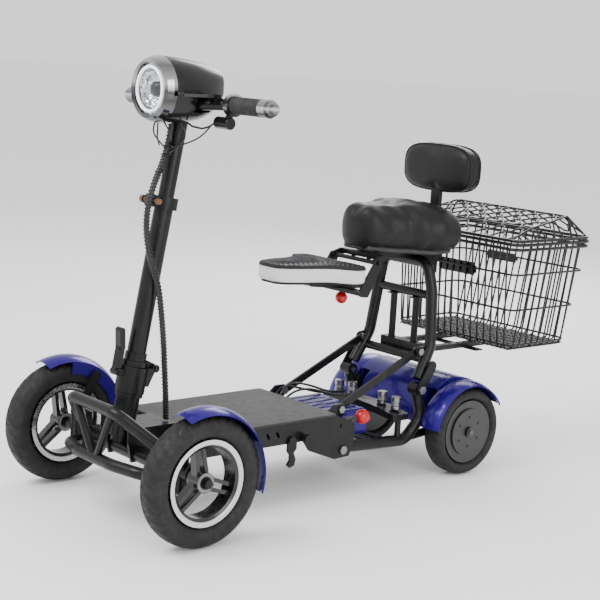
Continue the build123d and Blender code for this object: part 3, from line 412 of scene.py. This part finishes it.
def wires(name, paths, radius, material, body, replaced=(), smooth=False, sides=3):
    """One object of round wires that rides on a body."""
    obj = bpy.data.objects.new(name, wire_curve(name, paths, radius, material, sides, smooth))
    bpy.context.scene.collection.objects.link(obj)
    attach(obj, body)
    if replaced:
        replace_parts(obj, *replaced)
    return obj


def power(value, exponent):
    """The power of a value's size, with the value's own sign."""
    return abs(value) ** exponent * (1 if value >= 0 else -1)


def rounded_loop(cx, hx, hy, z, corner):
    """A level rectangle with round corners, its middle at cx and its half sides hx and hy."""
    points = []
    for quadrant, (sx, sy) in enumerate(((1, 1), (-1, 1), (-1, -1), (1, -1))):
        for step in range(7):
            a = radians(90 * quadrant + 15 * step)
            points.append((cx + sx * (hx - corner) + corner * cos(a),
                           sy * (hy - corner) + corner * sin(a), z))
    return points


# ---- tyres -------------------------------------------------------------------------------------
# Inner radius, number of sipes and depth of the tread.
TYRES = {"front": (0.0835, 34, 0.0018), "rear": (0.0718, 30, 0.0014)}


def tyre(node, body, inner_radius, sipes, depth):
    """A tyre with a rounded carcass, diagonal sipes, a zigzag centre groove and sidewall ribs."""
    low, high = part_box(node)
    centre = (low + high) / 2
    outer = (high.z - low.z) / 2
    half_width = (high.y - low.y) / 2
    middle = (outer + inner_radius) / 2
    around, across = 672, 44
    rings = []
    for i in range(around):
        angle = 2 * pi * i / around
        ring = []
        for j in range(across):
            turn = 2 * pi * j / across
            y = half_width * power(sin(turn), 0.78)
            r = middle + (outer - middle) * power(cos(turn), 0.8)
            lift = cos(turn)
            if lift > 0.1:
                share = sipes * angle / (2 * pi) + 1.1 * abs(y) / half_width * (1 if y > 0 else -1)
                in_sipe = share % 1 < 0.14 and abs(y) > 0.2 * half_width
                zigzag = 0.1 * half_width * (1 if (sipes * angle / pi) % 2 < 1 else -1)
                in_centre = abs(y - zigzag) < 0.07 * half_width
                if in_sipe or in_centre:
                    r -= depth
            elif 0.55 > -lift > 0.05 or 0 < lift:
                r += 0.0006 * cos(turn * 30)
            ring.append((centre.x + r * cos(angle), centre.y + y, centre.z + r * sin(angle)))
        rings.append(ring)
    verts = [v for ring in rings for v in ring]
    faces = grid_faces(around, across, wrap_rows=True)
    return mesh_piece(f"{node}_tread", verts, faces, MATERIALS["tyre_rubber"], body, (node,))


for side in ("left", "right"):
    for end, (inner_radius, sipes, depth) in TYRES.items():
        tyre(f"{end}_tyre_{side}", f"{end}_wheel_{side}", inner_radius, sipes, depth)


# ---- basket and lid ----------------------------------------------------------------------------
BASKET_LOW, BASKET_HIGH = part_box("basket")
FLOOR_HALF_X, FLOOR_HALF_Y = 0.104, 0.184
RIM_HALF_X = (BASKET_HIGH.x - BASKET_LOW.x) / 2
RIM_HALF_Y = (BASKET_HIGH.y - BASKET_LOW.y) / 2
FLOOR_X = -0.496
RIM_X = (BASKET_HIGH.x + BASKET_LOW.x) / 2
WIRE = 0.0021
MIDDLE_WIRE = 0.0025
THICK_WIRE = 0.0038
BASKET_CORNER = 0.024
WALL_PITCH = 0.021


def basket_size(t):
    """Centre x, half length, half width and height of the basket at t, 0 at its floor and 1 at its rim."""
    cx = FLOOR_X + (RIM_X - FLOOR_X) * t
    hx = FLOOR_HALF_X + (RIM_HALF_X - FLOOR_HALF_X) * t - THICK_WIRE
    hy = FLOOR_HALF_Y + (RIM_HALF_Y - FLOOR_HALF_Y) * t - THICK_WIRE
    z = BASKET_LOW.z + WIRE + (BASKET_HIGH.z - BASKET_LOW.z - WIRE - THICK_WIRE) * t
    return cx, hx, hy, z


def basket_ring(t, inset=0.0):
    cx, hx, hy, z = basket_size(t)
    return rounded_loop(cx, hx - inset, hy - inset, z, BASKET_CORNER)


def basket_u(offset, across):
    """A wire down one wall, under the floor and up the other, with rounded bottom bends."""
    points = []
    bend = 0.012
    for end in (1, -1):
        leg = []
        for t in (1.0, 0.75, 0.5, 0.25, bend / 0.25):
            cx, hx, hy, z = basket_size(t)
            leg.append((cx + end * hx, offset, z) if across else (cx + offset, end * hy, z))
        cx, hx, hy, z = basket_size(0)
        for a in (30, 60, 90):
            pull = bend * sin(radians(a)) ** 2
            rise = bend * (1 - sin(radians(a)))
            leg.append((cx + end * (hx - pull), offset, z + rise) if across
                       else (cx + offset, end * (hy - pull), z + rise))
        points += leg if end == 1 else leg[::-1]
    return points


walls = [(basket_u(-0.168 + WALL_PITCH * n, True), False) for n in range(17)]
walls += [(basket_u(-0.084 + WALL_PITCH * n, False), False) for n in range(9)]
floor_z = BASKET_LOW.z + 2.6 * WIRE
floor_gap = 0.004
floor_ends = (FLOOR_X - FLOOR_HALF_X + floor_gap, FLOOR_X + FLOOR_HALF_X - floor_gap)
for n in range(27):
    y = -0.1716 + 0.0132 * n
    walls.append(([(x, y, floor_z) for x in floor_ends], False))
for n in range(14):
    x = FLOOR_X - 0.0845 + 0.013 * n
    walls.append(([(x, floor_gap - FLOOR_HALF_Y, floor_z), (x, FLOOR_HALF_Y - floor_gap, floor_z)], False))
wires("basket_wires", walls, WIRE, MATERIALS["wire_black"], "seat_group", ("basket",))
wires("basket_hoops", [(basket_ring(t, inset=-0.4 * WIRE), True) for t in (0.72, 0.385, 0.05)], MIDDLE_WIRE,
      MATERIALS["wire_black"], "seat_group", ("basket",), sides=4)
wires("basket_rim", [(basket_ring(t), True) for t in (1.0, 0.955)], THICK_WIRE, MATERIALS["wire_black"],
      "seat_group", ("basket",), sides=4)

LID_LOW, LID_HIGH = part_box("basket_lid")
LID_HALF_Y = LID_HIGH.y - THICK_WIRE
LID_PROFILE = ((-0.639, 0.540), (-0.572, 0.5835), (-0.446, 0.5585), (-0.381, 0.5345))
LID_SHOULDER = 0.11


def lid_point(x, v):
    """A point on the lid at x, v of its half width to the side; its sides drop over the shoulder's share."""
    for (x0, z0), (x1, z1) in zip(LID_PROFILE, LID_PROFILE[1:]):
        if x <= x1:
            break
    top = z0 + (z1 - z0) * (x - x0) / (x1 - x0)
    fall = min(1, (1 - abs(v)) / LID_SHOULDER)
    rim = LID_LOW.z + THICK_WIRE
    return (x, v * LID_HALF_Y, rim + (top - rim) * fall ** 0.8)


lattice = []
LID_REAR, LID_FRONT = LID_PROFILE[0][0], LID_PROFILE[-1][0]
ROWS = 9
ROW_STEPS = 96
PITCH = (LID_FRONT - LID_REAR) / ROWS
for n in range(ROWS):
    x0 = LID_REAR + PITCH * (n + 0.5)
    sign = 1 if n % 2 else -1
    path = []
    for k in range(ROW_STEPS + 1):
        v = -1 + 2 * k / ROW_STEPS
        wave = max(-1, min(1, 1.5 * sin(v * pi * 7)))
        path.append(lid_point(x0 + sign * wave * (PITCH / 2 - WIRE) * min(1, (1 - abs(v)) * 9), v))
    lattice.append((path, False))
wires("lid_lattice", lattice, WIRE, MATERIALS["wire_black"], "lid", ("basket_lid",))
STEPS = 24
bars = []
for v in (-1 + LID_SHOULDER, 1 - LID_SHOULDER):
    bars.append(([lid_point(x, v) for x, _ in LID_PROFILE], False))
for x, _ in LID_PROFILE[1:3]:
    bars.append(([lid_point(x, -1 + 2 * k / STEPS) for k in range(STEPS + 1)], False))
wires("lid_frame", bars, MIDDLE_WIRE, MATERIALS["wire_black"], "lid", ("basket_lid",), sides=4)
border = rounded_loop((LID_FRONT + LID_REAR) / 2, (LID_FRONT - LID_REAR) / 2, LID_HALF_Y,
                      LID_LOW.z + THICK_WIRE + 0.003, 0.02)
wires("lid_border", [(border, True)], THICK_WIRE, MATERIALS["wire_black"], "lid",
      ("basket_lid",), sides=4)


def strap_plate(name, end, y0, y1, z0, z1):
    """A flat plate on the basket's front wall, end 1, or on its rear one, end -1."""
    cx, hx, _, _ = basket_size(0.72)
    x = cx + end * (hx - 0.003)
    work = bmesh.new()
    corners = [(x, y0, z0), (x, y1, z0), (x, y1, z1), (x, y0, z1)]
    face = work.faces.new([work.verts.new(c) for c in corners])
    bmesh.ops.bevel(work, geom=list(face.verts), offset=0.006, segments=4, affect="VERTICES")
    mesh = bpy.data.meshes.new(name)
    work.to_mesh(mesh)
    work.free()
    mesh.materials.append(MATERIALS["wire_black"])
    obj = bpy.data.objects.new(name, mesh)
    bpy.context.scene.collection.objects.link(obj)
    solid = obj.modifiers.new("thickness", "SOLIDIFY")
    solid.thickness = 0.002
    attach(obj, "seat_group")


strap_plate("front_basket_plate", 1, -0.048, 0.072, 0.437, 0.467)
strap_plate("rear_basket_plate", -1, -0.115, -0.01, 0.442, 0.464)


# ---- cushions ----------------------------------------------------------------------------------
PUFF_FRAMES = 20
PUFF_VOXEL = 0.005
PUFF_PRESSURE = 3.0


def puff(obj, cap):
    """Fills a closed shape by cloth simulation, letting no point move further than cap."""
    scene = bpy.context.scene
    bpy.context.view_layer.objects.active = obj
    remesh = obj.modifiers.new("remesh", "REMESH")
    remesh.mode = "VOXEL"
    remesh.voxel_size = PUFF_VOXEL
    remesh.use_smooth_shade = True
    base = bpy.data.meshes.new_from_object(obj.evaluated_get(bpy.context.evaluated_depsgraph_get()))
    obj.modifiers.remove(remesh)
    rest = [v.co.copy() for v in base.vertices]
    material = obj.data.materials[0]
    obj.data = base
    cloth = obj.modifiers.new("fill", "CLOTH")
    cloth.settings.use_pressure = True
    cloth.settings.uniform_pressure_force = PUFF_PRESSURE
    cloth.settings.effector_weights.gravity = 0
    cloth.settings.quality = 4
    cloth.point_cache.frame_start = 1
    cloth.point_cache.frame_end = PUFF_FRAMES
    for number in range(1, PUFF_FRAMES + 1):
        scene.frame_set(number)
    moved = bpy.data.meshes.new_from_object(obj.evaluated_get(bpy.context.evaluated_depsgraph_get()))
    obj.modifiers.remove(cloth)
    scene.frame_set(1)
    for vertex, start in zip(moved.vertices, rest):
        step = vertex.co - start
        if step.length > cap:
            vertex.co = start + step * (cap / step.length)
    moved.materials.clear()
    moved.materials.append(material)
    moved.polygons.foreach_set("use_smooth", [True] * len(moved.polygons))
    obj.data = moved


def subdivide(obj):
    modifier = obj.modifiers.new("smooth", "SUBSURF")
    modifier.levels = 1
    modifier.render_levels = 1


def blend_stops(stops, x):
    """Smooth interpolation through (x, value) stops in rising x."""
    if x <= stops[0][0]:
        return stops[0][1]
    for (x0, v0), (x1, v1) in zip(stops, stops[1:]):
        if x <= x1:
            t = (x - x0) / (x1 - x0)
            return v0 + (v1 - v0) * t * t * (3 - 2 * t)
    return stops[-1][1]


SADDLE_LOW, SADDLE_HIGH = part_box("saddle")
# Stops run from the rear, 0, to the nose, 1.
SADDLE_WIDTH = ((0.0, 0.108), (0.12, 0.127), (0.3, 0.130), (0.46, 0.113), (0.62, 0.084), (0.8, 0.067),
                (0.93, 0.060), (1.0, 0.057))
SADDLE_TOP = ((0.0, 0.594), (0.2, 0.605), (0.46, 0.607), (0.63, 0.601), (0.8, 0.602), (0.93, 0.606),
              (1.0, 0.603))
SADDLE_BASE = ((0.0, 0.499), (0.3, 0.4977), (0.6, 0.500), (1.0, 0.506))
SADDLE_COLUMNS = 56


def saddle_ring(t, shrink):
    """One section across the saddle; shrink is under 1 where the nose and rear round off."""
    x = SADDLE_LOW.x + t * (SADDLE_HIGH.x - SADDLE_LOW.x)
    width = blend_stops(SADDLE_WIDTH, t) * shrink
    top = blend_stops(SADDLE_TOP, t)
    base = blend_stops(SADDLE_BASE, t)
    middle = base + (top - base) * 0.42
    ring = []
    for k in range(SADDLE_COLUMNS):
        a = 2 * pi * k / SADDLE_COLUMNS
        y = width * power(cos(a), 0.66 if sin(a) > 0 else 0.5)
        lift = power(sin(a), 0.8)
        reach = (top - middle if lift > 0 else middle - base) * (0.6 + 0.4 * shrink)
        z = middle + lift * reach
        if lift > 0:
            z -= 0.007 * exp(-((y / 0.02) ** 2)) * min(1, t * 2.5) * lift
        else:
            y *= 1 + 0.07 * lift
        ring.append((x, y, z))
    return ring


def end_rounding(t):
    """The share of its full section that the saddle keeps at t, for blunt rounded ends."""
    end = min(1, (1 - t) / 0.15, t / 0.15)
    return max(0.05, (1 - (1 - end) ** 2.8) ** (1 / 2.8))


def make_saddle():
    rings = []
    steps = 46
    for i in range(steps + 1):
        t = 0.5 - 0.5 * cos(pi * i / steps)
        rings.append(saddle_ring(t, end_rounding(t)))
    verts, faces = closed_skin(rings)
    obj = mesh_piece("saddle_cover", verts, faces, MATERIALS["seat_leather"], "seat_group",
                     ("saddle",))
    puff(obj, 0.005)
    subdivide(obj)


def saddle_pan():
    """The black plastic pan under the saddle."""
    rings = []
    steps = 40
    for shrink, rise in ((0.56, 0.0), (0.7, 0.0006), (0.74, 0.003), (0.74, 0.012)):
        outline = []
        for i in range(steps + 1):
            t = 0.06 + 0.88 * i / steps
            wide = blend_stops(SADDLE_WIDTH, t) * end_rounding(t) * shrink
            x = SADDLE_LOW.x + t * (SADDLE_HIGH.x - SADDLE_LOW.x)
            outline.append((x, wide, blend_stops(SADDLE_BASE, t) - 0.002 + rise))
        rings.append(outline + [(x, -y, z) for x, y, z in reversed(outline)])
    verts, faces = closed_skin(rings)
    mesh_piece("saddle_pan", verts, faces, MATERIALS["cover_black"], "seat_group")


make_saddle()
saddle_pan()

PAD_LOW, PAD_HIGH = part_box("backrest_pad")


def make_backrest():
    """A crowned pad whose corners are rounder than its sides, with piping on both edges."""
    centre = (PAD_LOW + PAD_HIGH) / 2
    half = (PAD_HIGH - PAD_LOW) / 2
    columns = 96
    profile = [(0.45, -0.92), (0.8, -0.9), (0.93, -0.78), (0.975, -0.5), (0.985, 0.0), (0.965, 0.45),
               (0.9, 0.72), (0.76, 0.88), (0.55, 0.96), (0.3, 0.985), (0.1, 0.99)]
    rings = []
    piping = {-0.5: [], 0.45: []}
    for scale, depth in profile:
        ring = []
        for k in range(columns):
            a = 2 * pi * k / columns
            y = half.y * power(cos(a), 0.58) * scale
            z = half.z * power(sin(a), 0.62) * scale
            x = half.x * depth - 0.005 * (y / half.y) ** 2 * (1 if depth < 0 else -0.4)
            ring.append((centre.x + x, centre.y + y, centre.z + z))
        rings.append(ring)
        if depth in piping:
            piping[depth] = [(x, centre.y + (y - centre.y) * 1.006, centre.z + (z - centre.z) * 1.012)
                             for x, y, z in ring]
    verts, faces = closed_skin(rings)
    obj = mesh_piece("backrest_cover", verts, faces, MATERIALS["seat_leather"], "backrest",
                     ("backrest_pad",))
    puff(obj, 0.004)
    subdivide(obj)
    wires("backrest_piping", [(loop, True) for loop in piping.values()], 0.0018,
          MATERIALS["seat_leather"], "backrest")


make_backrest()

# The child seat's own plane, as the CAD places it.
CHILD_TILT = radians(1)
CHILD_PLACE = Matrix.Translation((-0.024, 0, 0.4443)) @ Matrix.Rotation(-CHILD_TILT, 4, "Y")
CHILD_OUTLINE = ((0.210, 0.0), (0.210, 0.026), (0.196, 0.042), (0.152, 0.056), (0.108, 0.062), (0.082, 0.071),
                 (0.065, 0.090), (0.050, 0.106), (0.024, 0.107), (0.010, 0.096), (0.007, 0.072), (0.007, 0.0))


def smooth_loop(half_outline):
    """A closed rounded loop through a half outline mirrored about its first axis."""
    curve = bpy.data.curves.new("loop", "CURVE")
    curve.dimensions = "3D"
    points = list(half_outline) + [(x, -y) for x, y in half_outline[-2:0:-1]]
    spline = curve.splines.new("NURBS")
    spline.points.add(len(points) - 1)
    for point, (x, y) in zip(spline.points, points):
        point.co = (x, y, 0, 1)
    spline.use_cyclic_u = True
    spline.order_u = 3
    curve.resolution_u = 8
    obj = bpy.data.objects.new("loop", curve)
    mesh = bpy.data.meshes.new_from_object(obj)
    loop = [(v.co.x, v.co.y) for v in mesh.vertices]
    bpy.data.objects.remove(obj)
    bpy.data.curves.remove(curve)
    bpy.data.meshes.remove(mesh)
    return loop


def make_child_seat():
    """White side wall, and a dark top with pressed chevrons."""
    loop = smooth_loop(CHILD_OUTLINE)
    middle = (0.09, 0.0)

    def ring(scale, height, pressed=False):
        points = []
        for x, y in loop:
            px = middle[0] + (x - middle[0]) * scale
            py = y * scale
            z = height
            if pressed:
                wave = sin((px - abs(py) * 0.9) * 2 * pi / 0.014)
                z += 0.0011 * power(wave, 0.5) * min(1, (1 - scale) * 14)
                z -= 0.004 * exp(-((py / 0.03) ** 2)) * min(1, max(0, 1 - scale) * 3)
            points.append(CHILD_PLACE @ Vector((px, py, z)))
        return points

    side = [ring(0.9, 0.0006), ring(0.965, 0.001), ring(0.985, 0.004), ring(0.995, 0.012), ring(0.995, 0.023),
            ring(0.985, 0.030), ring(0.95, 0.0315)]
    verts, faces = closed_skin(side)
    wall = mesh_piece("child_seat_side", verts, faces, WHITE_VINYL, "child_seat",
                      ("child_seat_pad",))
    top = [ring(0.97, 0.0292), ring(0.998, 0.0304), ring(0.998, 0.0336), ring(0.98, 0.0362)]
    top += [ring(0.965 - 0.93 * k / 60, 0.0374, True) for k in range(61)]
    verts, faces = closed_skin(top)
    cover = mesh_piece("child_seat_top", verts, faces, MATERIALS["child_vinyl"], "child_seat",
                       ("child_seat_pad",))


make_child_seat()


# ---- grips, lamp and loom ----------------------------------------------------------------------
def make_grip(node, body):
    """A rubber grip with raised end flanges and diagonal ribs."""
    low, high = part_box(node)
    centre = (low + high) / 2
    radius = (high.z - low.z) / 2
    length = high.y - low.y
    rows, columns = 120, 72
    verts = []
    for i in range(rows + 1):
        u = i / rows
        for j in range(columns):
            a = 2 * pi * j / columns
            flange = u < 0.05 or u > 0.95
            rib = (u * 9 + a / pi) % 1 < 0.3 or (u * 9 - a / pi) % 1 < 0.12
            r = radius if flange else radius - 0.0008 - (0.0014 if rib else 0)
            if u < 0.01 or u > 0.99:
                r = radius - 0.002
            verts.append((centre.x + r * cos(a), low.y + u * length, centre.z + r * sin(a)))
    inner = 0.0113
    for u in (1, 0):
        for j in range(columns):
            a = 2 * pi * j / columns
            verts.append((centre.x + inner * cos(a), low.y + u * length, centre.z + inner * sin(a)))
    faces = grid_faces(rows + 3, columns, wrap_rows=True)
    mesh_piece(f"{node}_ribbed", verts, faces, MATERIALS["grip_rubber"], body, (node,))


make_grip("grip_left", "mast")
make_grip("throttle_grip", "throttle")

BEZEL_LOW, BEZEL_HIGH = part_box("headlight_bezel")
LAMP_Z = (BEZEL_LOW.z + BEZEL_HIGH.z) / 2


def lamp_loop(x, radius, count=64):
    return [(x, radius * cos(2 * pi * k / count), LAMP_Z + radius * sin(2 * pi * k / count))
            for k in range(count)]


wires("led_ring", [(lamp_loop(0.4985, 0.0425), True)], 0.0032, LED, "mast", sides=4)
wires("lamp_inner_ring", [(lamp_loop(0.4965, 0.0365), True)], 0.0016, MATERIALS["chrome_trim"], "mast",
      sides=4)


def lamp_projector():
    """A round projector lens on a short stem in the reflector's middle."""
    rings = []
    for x, r in ((0.458, 0.010), (0.476, 0.011), (0.478, 0.0145), (0.484, 0.0145), (0.4875, 0.011),
                 (0.4895, 0.005)):
        rings.append(lamp_loop(x, r, 40))
    verts, faces = closed_skin(rings)
    mesh_piece("lamp_projector", verts, faces, MATERIALS["gloss_black"], "mast")


lamp_projector()

# The loom's route, as the CAD has it.
LOOM_ROUTE = (
    (449, 7, 773), (453, 9, 750), (468, 13, 702), (505, 28, 646), (517, 30, 588), (508, 30, 527),
    (483, 33, 464), (471, 31, 403), (462, 30, 342), (455, 28, 280), (444, 21, 216), (439, 16, 183),
)
LOOM_R = 0.0052
WRAP_R = 0.0014


def centre_line():
    """Points along the loom's smooth line."""
    curve = bpy.data.curves.new("line", "CURVE")
    curve.dimensions = "3D"
    curve.resolution_u = 24
    spline = curve.splines.new("NURBS")
    spline.points.add(len(LOOM_ROUTE) - 1)
    for point, place in zip(spline.points, LOOM_ROUTE):
        point.co = (*(c * MM for c in place), 1)
    spline.order_u = 3
    spline.use_endpoint_u = True
    obj = bpy.data.objects.new("line", curve)
    mesh = bpy.data.meshes.new_from_object(obj)
    line = [v.co.copy() for v in mesh.vertices]
    bpy.data.objects.remove(obj)
    bpy.data.curves.remove(curve)
    bpy.data.meshes.remove(mesh)
    return line


def wrapped(line, radius, pitch):
    """A helix of the radius about a line of points, in 12 steps to a turn."""
    points = []
    travelled = 0.0
    side = Vector((0, 1, 0))
    step = pitch / 12
    for a, b in zip(line, line[1:]):
        along = (b - a).normalized()
        u = (side - along * side.dot(along)).normalized()
        v = along.cross(u)
        length = (b - a).length
        start = travelled
        while travelled < start + length:
            turn = 2 * pi * travelled / pitch
            here = a + along * (travelled - start)
            points.append(tuple(here + (u * cos(turn) + v * sin(turn)) * radius))
            travelled += step
    return points


def bent_cable(curve):
    """A curve made a mesh, linked to the scene and attached to no body."""
    source = bpy.data.objects.new(curve.name, curve)
    mesh = bpy.data.meshes.new_from_object(source)
    bpy.data.objects.remove(source)
    piece = bpy.data.objects.new(curve.name, mesh)
    mesh.polygons.foreach_set("use_smooth", [True] * len(mesh.polygons))
    bpy.context.scene.collection.objects.link(piece)
    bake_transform(piece)
    return piece


def make_rear_cables():
    """Motor cables that loop from the deck's rear over the vented cover."""
    runs = [
        ((0.0745, -0.070, 0.158), (0.058, -0.074, 0.184), (0.030, -0.070, 0.197), (-0.010, -0.052, 0.188),
         (-0.050, -0.046, 0.172), (-0.085, -0.048, 0.167), (-0.108, -0.050, 0.166)),
        ((0.0745, -0.055, 0.158), (0.052, -0.050, 0.182), (0.015, -0.030, 0.190), (-0.025, -0.018, 0.176),
         (-0.060, -0.010, 0.169), (-0.110, 0.0, 0.167)),
        ((0.0745, -0.082, 0.155), (0.062, -0.090, 0.176), (0.035, -0.088, 0.186), (0.0, -0.072, 0.178),
         (-0.035, -0.066, 0.168), (-0.075, -0.070, 0.160), (-0.105, -0.074, 0.158)),
    ]
    curve = wire_curve("rear_cables", [(run, False) for run in runs], 0.0026, MATERIALS["loom_black"],
                       smooth=True)
    bent_cable(curve)


def make_loom():
    """The loom in two pieces, each a core with a wrap around it."""
    line = centre_line()
    middle = len(line) // 2
    halves = (("loom_upper", line[:middle + 1], ("stem", "mast"), (0.5, 0.03, 0.56), (0.455, 0.01, 0.75)),
              ("loom_lower", line[middle:], ("column", "stem"), (0.455, 0.028, 0.24), (0.475, 0.03, 0.43)))
    for name, part, bodies, start, end in halves:
        core = wire_curve(name, [([tuple(p) for p in part], False)], LOOM_R, MATERIALS["loom_black"], 4)
        turns = [(wrapped(part, LOOM_R + 0.0006, 0.0075), False)]
        wrap = wire_curve(f"{name}_wrap", turns, WRAP_R, MATERIALS["loom_black"], 2)
        for curve in (core, wrap):
            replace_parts(bent_cable(curve), "cable_harness")


make_loom()


def make_springs():
    """Coil springs around the solid stacks on the cross plate."""
    coils = []
    x, radius, rise, steps = -0.133, 0.009, 0.0086, 50
    for y in (-0.094, -0.050, 0.050, 0.094):
        base = 0.1655 if abs(y) < 0.06 else 0.1615
        coil = [(x + radius * cos(k * 0.6), y + radius * sin(k * 0.6), base + rise * k / steps)
                for k in range(steps + 1)]
        coils.append((coil, False))
    wires("spring_coils", coils, 0.0013, MATERIALS["zinc_steel"], "rear_chassis")


make_springs()
make_rear_cables()


def make_lamp_cables():
    """The loose cables under the headlight, and the ties that hold them to the sleeve."""
    runs = [
        ((0.478, 0.022, 0.778), (0.474, 0.036, 0.762), (0.462, 0.03, 0.742), (0.455, 0.012, 0.732)),
        ((0.470, -0.018, 0.776), (0.482, -0.012, 0.758), (0.474, 0.004, 0.738), (0.459, 0.01, 0.722)),
        ((0.440, 0.022, 0.776), (0.430, 0.034, 0.757), (0.440, 0.03, 0.735), (0.460, 0.018, 0.716)),
        ((0.405, 0.080, 0.779), (0.412, 0.066, 0.757), (0.432, 0.042, 0.738), (0.459, 0.02, 0.727)),
        ((0.456, -0.03, 0.778), (0.452, -0.034, 0.758), (0.462, -0.022, 0.744), (0.468, -0.004, 0.731)),
    ]
    wires("lamp_cables", [(run, False) for run in runs], 0.0016, MATERIALS["loom_black"], "mast",
          smooth=True)
    ties = []
    r = 0.0088
    for x, y, z in ((0.4595, 0.0105, 0.73), (0.464, 0.012, 0.714), (0.4805, 0.0175, 0.682)):
        ties.append(([(x + r * cos(k * pi / 8), y + r * sin(k * pi / 8), z) for k in range(16)], True))
        tail = ((x, y + r, z), (x + 0.004, y + 0.018, z + 0.003), (x + 0.006, y + 0.026, z + 0.001))
        ties.append((tail, False))
    wires("cable_ties", ties, 0.0011, MATERIALS["gloss_black"], "mast")


make_lamp_cables()

# ---- camera, light and floor -------------------------------------------------------------------
CAMERA_AT = Vector((2.0712, 2.2876, 0.919))
CAMERA_AZIMUTH, CAMERA_ELEVATION, CAMERA_ROLL = radians(229.049), radians(-9.738), radians(3.374)
CAMERA_LENS = 85.48


def make_camera():
    forward = Vector((cos(CAMERA_AZIMUTH) * cos(CAMERA_ELEVATION),
                      sin(CAMERA_AZIMUTH) * cos(CAMERA_ELEVATION), sin(CAMERA_ELEVATION)))
    right = forward.cross(Vector((0, 0, 1))).normalized()
    up = right.cross(forward)
    x_axis = right * cos(CAMERA_ROLL) + up * sin(CAMERA_ROLL)
    y_axis = up * cos(CAMERA_ROLL) - right * sin(CAMERA_ROLL)
    data = bpy.data.cameras.new("camera")
    data.lens = CAMERA_LENS
    data.sensor_width = 36
    data.clip_end = 60
    camera = bpy.data.objects.new("camera", data)
    bpy.context.scene.collection.objects.link(camera)
    turn = Matrix((x_axis, y_axis, -forward)).transposed().to_4x4()
    camera.matrix_world = Matrix.Translation(CAMERA_AT) @ turn
    bpy.context.scene.camera = camera


def area_light(name, place, target, size, power_w):
    data = bpy.data.lights.new(name, "AREA")
    data.energy = power_w
    data.size = size
    light = bpy.data.objects.new(name, data)
    bpy.context.scene.collection.objects.link(light)
    light.location = place
    aim = Vector(target) - Vector(place)
    light.rotation_euler = aim.to_track_quat("-Z", "Y").to_euler()


def make_stage():
    mesh = bpy.data.meshes.new("floor")
    reach = 60
    mesh.from_pydata([(-reach, -reach, 0), (reach, -reach, 0), (reach, reach, 0), (-reach, reach, 0)], [],
                     [(0, 1, 2, 3)])
    floor = Surface("floor", (0.95, 0.95, 0.95), 0.8, spec=0.1)
    floor.vary_rough(3, 0.65, 0.75)
    mesh.materials.append(floor.mat)
    obj = bpy.data.objects.new("floor", mesh)
    obj.location.z = -0.0005
    bpy.context.scene.collection.objects.link(obj)
    world = bpy.data.worlds.new("studio")
    world.use_nodes = True
    world.node_tree.nodes["Background"].inputs["Color"].default_value = (1, 1, 1, 1)
    world.node_tree.nodes["Background"].inputs["Strength"].default_value = 1.3
    bpy.context.scene.world = world


make_camera()
make_stage()
area_light("key", (2.4, -0.4, 2.8), (0.1, 0, 0.4), 1.6, 90)
area_light("fill", (0.6, 3.2, 1.6), (0, 0, 0.4), 2.2, 60)
area_light("back", (-2.6, -1.6, 2.4), (-0.2, 0, 0.4), 1.8, 70)
